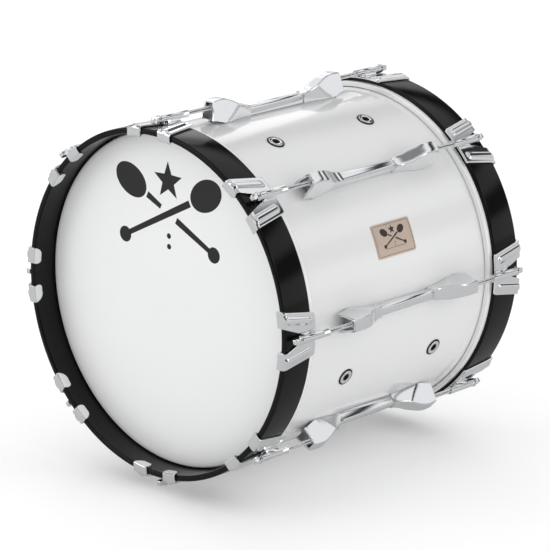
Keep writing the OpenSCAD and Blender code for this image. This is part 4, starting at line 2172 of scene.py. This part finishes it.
@dataclass
class Marks:
    """The printed emblem on the front head and the badge on the shell."""

    shop: Workshop
    emblem: Emblem
    emblem_place: Point = (-4 * MM, 106 * MM)
    badge_angle: float = 21.5
    badge_middle: float = 4 * MM
    badge_long: float = 68 * MM
    badge_wide: float = 41 * MM
    badge_gap: float = 0.05 * MM
    badge_thickness: float = 0.6 * MM
    badge_corner: float = 2.5 * MM
    badge_soft: float = 0.15 * MM
    border: float = 2.2 * MM
    line: float = 0.45 * MM
    rule: Point = (-10.5 * MM, 17 * MM)
    mark_scale: float = 0.24
    mark_up: float = 1.5 * MM
    lift: float = 0.01 * MM
    slice: float = 2 * MM

    def build(self) -> None:
        """Makes the emblem, the badge plate and the badge's mark."""
        shop, finishes = self.shop, self.shop.finishes
        mesh = self.emblem.flat()
        x, z = self.emblem_place
        mesh.transform(Matrix.Translation((x, -shop.sizes.head_face - self.lift, z)))
        piece = Shape.stored("head_emblem", mesh)
        shop.hand_in(piece, finishes.ink, "print_ink")
        turn = Matrix.Rotation(-math.radians(self.badge_angle), 4, "Y")
        plate = self._plate()
        plate.transform(turn)
        piece = Shape.stored("badge_plate", plate)
        shop.hand_in(piece, finishes.badge, "badge_metal", nodes=["badge"])
        mark = self._mark()
        mark.transform(turn)
        piece = Shape.stored("badge_mark", mark)
        shop.hand_in(piece, finishes.mark, "print_ink")

    def _plate(self) -> bmesh.types.BMesh:
        """Makes the thin plate, bent to the shell, with its corners rounded.

        Returns:
            The mesh.
        """
        low = self.shop.sizes.covering + self.badge_gap
        high, soft = low + self.badge_thickness, self.badge_soft
        side, corner = self.badge_wide / 2, self.badge_corner
        round_end = [side - corner + corner * math.sin(math.radians(a)) for a in range(0, 91, 15)]
        between = [side * t for t in (-0.6, -0.3, 0, 0.3, 0.6)]
        offsets = [*[-v for v in reversed(round_end)], *between, *round_end]
        rows = []
        for v in offsets:
            over = max(abs(v) - (side - corner), 0.0)
            half = self.badge_long / 2 - corner + math.sqrt(max(corner**2 - over**2, 0.0))
            levels = ((half, low), (half, high - soft), (half - soft, high))
            section = [(u, r) for u, r in levels] + [(-u, r) for u, r in reversed(levels)]
            rows.append([self._curved(u + self.badge_middle, v, r) for u, r in section])
        return Shape.capped(rows)

    def _mark(self) -> bmesh.types.BMesh:
        """Makes the badge's small mark and its border line, laid on the plate.

        Returns:
            The mesh.
        """
        flat = self.emblem.flat(self.mark_scale)
        flat.transform(Matrix.Translation((0, 0, self.mark_up)))
        half = (self.badge_long / 2 - self.border, self.badge_wide / 2 - self.border)
        lines = []
        for side in (-1, 1):
            lines.append(self._line((0, side * half[1]), (half[0], self.line / 2)))
            lines.append(self._line((side * half[0], 0), (self.line / 2, half[1] - self.line)))
        place, reach = self.rule
        mesh = Shape.join([flat, *lines, self._line((0, place), (reach, self.line / 2))])
        count = int(self.badge_wide / 2 / self.slice)
        for i in range(-count, count + 1):
            geometry = mesh.verts[:] + mesh.edges[:] + mesh.faces[:]
            middle = (0, 0, i * self.slice)
            bmesh.ops.bisect_plane(mesh, geom=geometry, plane_co=middle, plane_no=(0, 0, 1))
        bmesh.ops.triangulate(mesh, faces=mesh.faces)
        face = self.shop.sizes.covering + self.badge_gap + self.badge_thickness + self.lift
        for vertex in mesh.verts:
            u, height, v = vertex.co
            vertex.co = self._curved(self.badge_middle + u, v, face - height)
        bmesh.ops.recalc_face_normals(mesh, faces=mesh.faces)
        return mesh

    @staticmethod
    def _curved(y: float, across: float, radius: float) -> Vector:
        """Puts a point of the badge on the shell's curve."""
        a = across / radius
        return Vector((radius * math.cos(a), y, radius * math.sin(a)))

    def _line(self, middle: Point, half: Point) -> bmesh.types.BMesh:
        """Makes a straight line of ink."""
        (x, z), (w, h) = middle, half
        corners = [(x - w, z - h), (x + w, z - h), (x + w, z + h), (x - w, z + h)]
        return self.emblem.prism([Vector(c) for c in corners])


# ---- the studio --------------------------------------------------------------------


@dataclass
class Studio:
    """The pale floor, the soft lights and the camera."""

    shop: Workshop
    azimuth: float = 43.06
    elevation: float = 15.82
    roll: float = -0.292
    distance: float = 3.588
    lens: float = 190.6
    aim_right: float = 0.7 * MM
    aim_down: float = 5.8 * MM
    ambient: float = 0.88
    floor_glow: float = 0.17
    cards: tuple[tuple[float, float, float], ...] = (
        (0.18, 0.36, 0.88), (0.52, 0.64, 0.97), (0.83, 0.93, 0.75)
    )
    card_edge: float = 0.045
    lens_card: tuple[float, float, float] = (0.8, 0.06, 0.9)
    floor_size: float = 12.0
    floor_drop: float = 0.2 * MM
    floor_level: float = 0.93
    floor_in_metal: float = 0.42

    def build(self) -> None:
        """Makes the camera, the world, the lights and the floor."""
        bpy.context.scene.view_settings.view_transform = "Standard"
        self._camera()
        self._world()
        self._floor()
        for name, place, size, power in (
            ("back_softbox", (-1.9, 1.6, 1.5), (1.4, 1.4), 5.5),
            ("left_softbox", (-1.6, -2.4, 1.2), (1.4, 1.4), 10.0),
            ("right_softbox", (2.6, 0.9, 0.9), (0.5, 1.6), 6.0),
        ):
            self._softbox(name, place, size, power)

    def _camera(self) -> None:
        """Stands the camera where the drum is seen from."""
        a, e, r = (math.radians(v) for v in (self.azimuth, self.elevation, self.roll))
        away = Vector((math.sin(a) * math.cos(e), -math.cos(a) * math.cos(e), math.sin(e)))
        right = Vector((math.cos(a), math.sin(a), 0))
        up = away.cross(right)
        tilted_right = right * math.cos(r) + up * math.sin(r)
        tilted_up = away.cross(tilted_right)
        place = away * self.distance + tilted_right * self.aim_right - tilted_up * self.aim_down
        data = bpy.data.cameras.new("camera")
        data.lens = self.lens
        data.sensor_width = 36
        camera = bpy.data.objects.new("camera", data)
        axes = Matrix((tilted_right, tilted_up, away)).transposed().to_4x4()
        camera.matrix_world = Matrix.Translation(place) @ axes
        bpy.context.scene.collection.objects.link(camera)
        bpy.context.scene.camera = camera

    def _world(self) -> None:
        """Surrounds the drum with even light, in which bright metal sees dark cards.

        A card is a band of the sky: its lowest and highest Z, and how dark it is.
        """
        world = bpy.data.worlds.new("studio")
        bpy.context.scene.world = world
        world.use_nodes = True
        sky = Nodes(world.node_tree)
        x, y, z = sky.split(sky.coords.outputs["Generated"])
        ahead = math.radians(self.azimuth)
        lens_side = x * math.sin(ahead) - y * math.cos(ahead)
        level = z.above(-0.03, 0.02)
        for low, high, dark in self.cards:
            band = z.above(low, self.card_edge) * (1.0 - z.above(high, self.card_edge))
            level = level * (1.0 - band * dark)
        place, soft, dark = self.lens_card
        level = level * (1.0 - lens_side.above(place, soft) * dark)
        path = sky.node("ShaderNodeLightPath").outputs
        seen = sky.mix(path["Is Glossy Ray"], grey(1.0), sky.vector(level, level, level * 1.02))
        seen = sky.mix(path["Is Camera Ray"], seen, grey(1.0))
        light = sky.node("ShaderNodeBackground", inputs={"Color": seen, "Strength": self.ambient})
        sky.node("ShaderNodeOutputWorld", inputs={"Surface": light.outputs[0]})

    def _floor(self) -> None:
        """Lays the pale floor under the lowest lug."""
        mesh = bmesh.new()
        bmesh.ops.create_grid(mesh, x_segments=1, y_segments=1, size=self.floor_size)
        height = self.shop.sizes.floor - self.floor_drop
        bmesh.ops.translate(mesh, verts=mesh.verts, vec=(0, 0, height))
        floor = Shape.stored("floor", mesh)
        shader = Shader("pale_floor")
        path = shader.node("ShaderNodeLightPath").outputs
        shader.dress(
            Base_Color=shader.mix(
                path["Is Glossy Ray"], grey(self.floor_level), grey(self.floor_in_metal)
            ),
            Roughness=0.9,
            Specular_IOR_Level=0.1,
            Emission_Color=grey(1.0),
            Emission_Strength=self.floor_glow,
        )
        floor.data.materials.append(shader.material)
        floor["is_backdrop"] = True

    @staticmethod
    def _softbox(name: str, place: Sequence[float], size: Point, power: float) -> None:
        """Hangs a soft light that faces the drum.

        Args:
            name: the light's name.
            place: where it hangs.
            size: its width and height.
            power: its power in watts.
        """
        data = bpy.data.lights.new(name, "AREA")
        data.shape = "RECTANGLE"
        data.size, data.size_y = size
        data.energy = power
        light = bpy.data.objects.new(name, data)
        light.location = place
        light.rotation_euler = Vector(place).to_track_quat("Z", "Y").to_euler()
        bpy.context.scene.collection.objects.link(light)


def main() -> None:
    """Builds the drum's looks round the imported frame."""
    logging.basicConfig(level=logging.INFO, format="%(name)s: %(message)s")
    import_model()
    shop = Workshop(Sizes.read(), Palette(), Placing(), Thread())
    Studio(shop).build()
    Shell(shop).build()
    Heads(shop).build()
    Lugs(shop).build()
    Claws(shop).build()
    Rods(shop).build()
    Inserts(shop).build()
    Marks(shop, Emblem()).build()


if __name__ == "__main__":
    main()
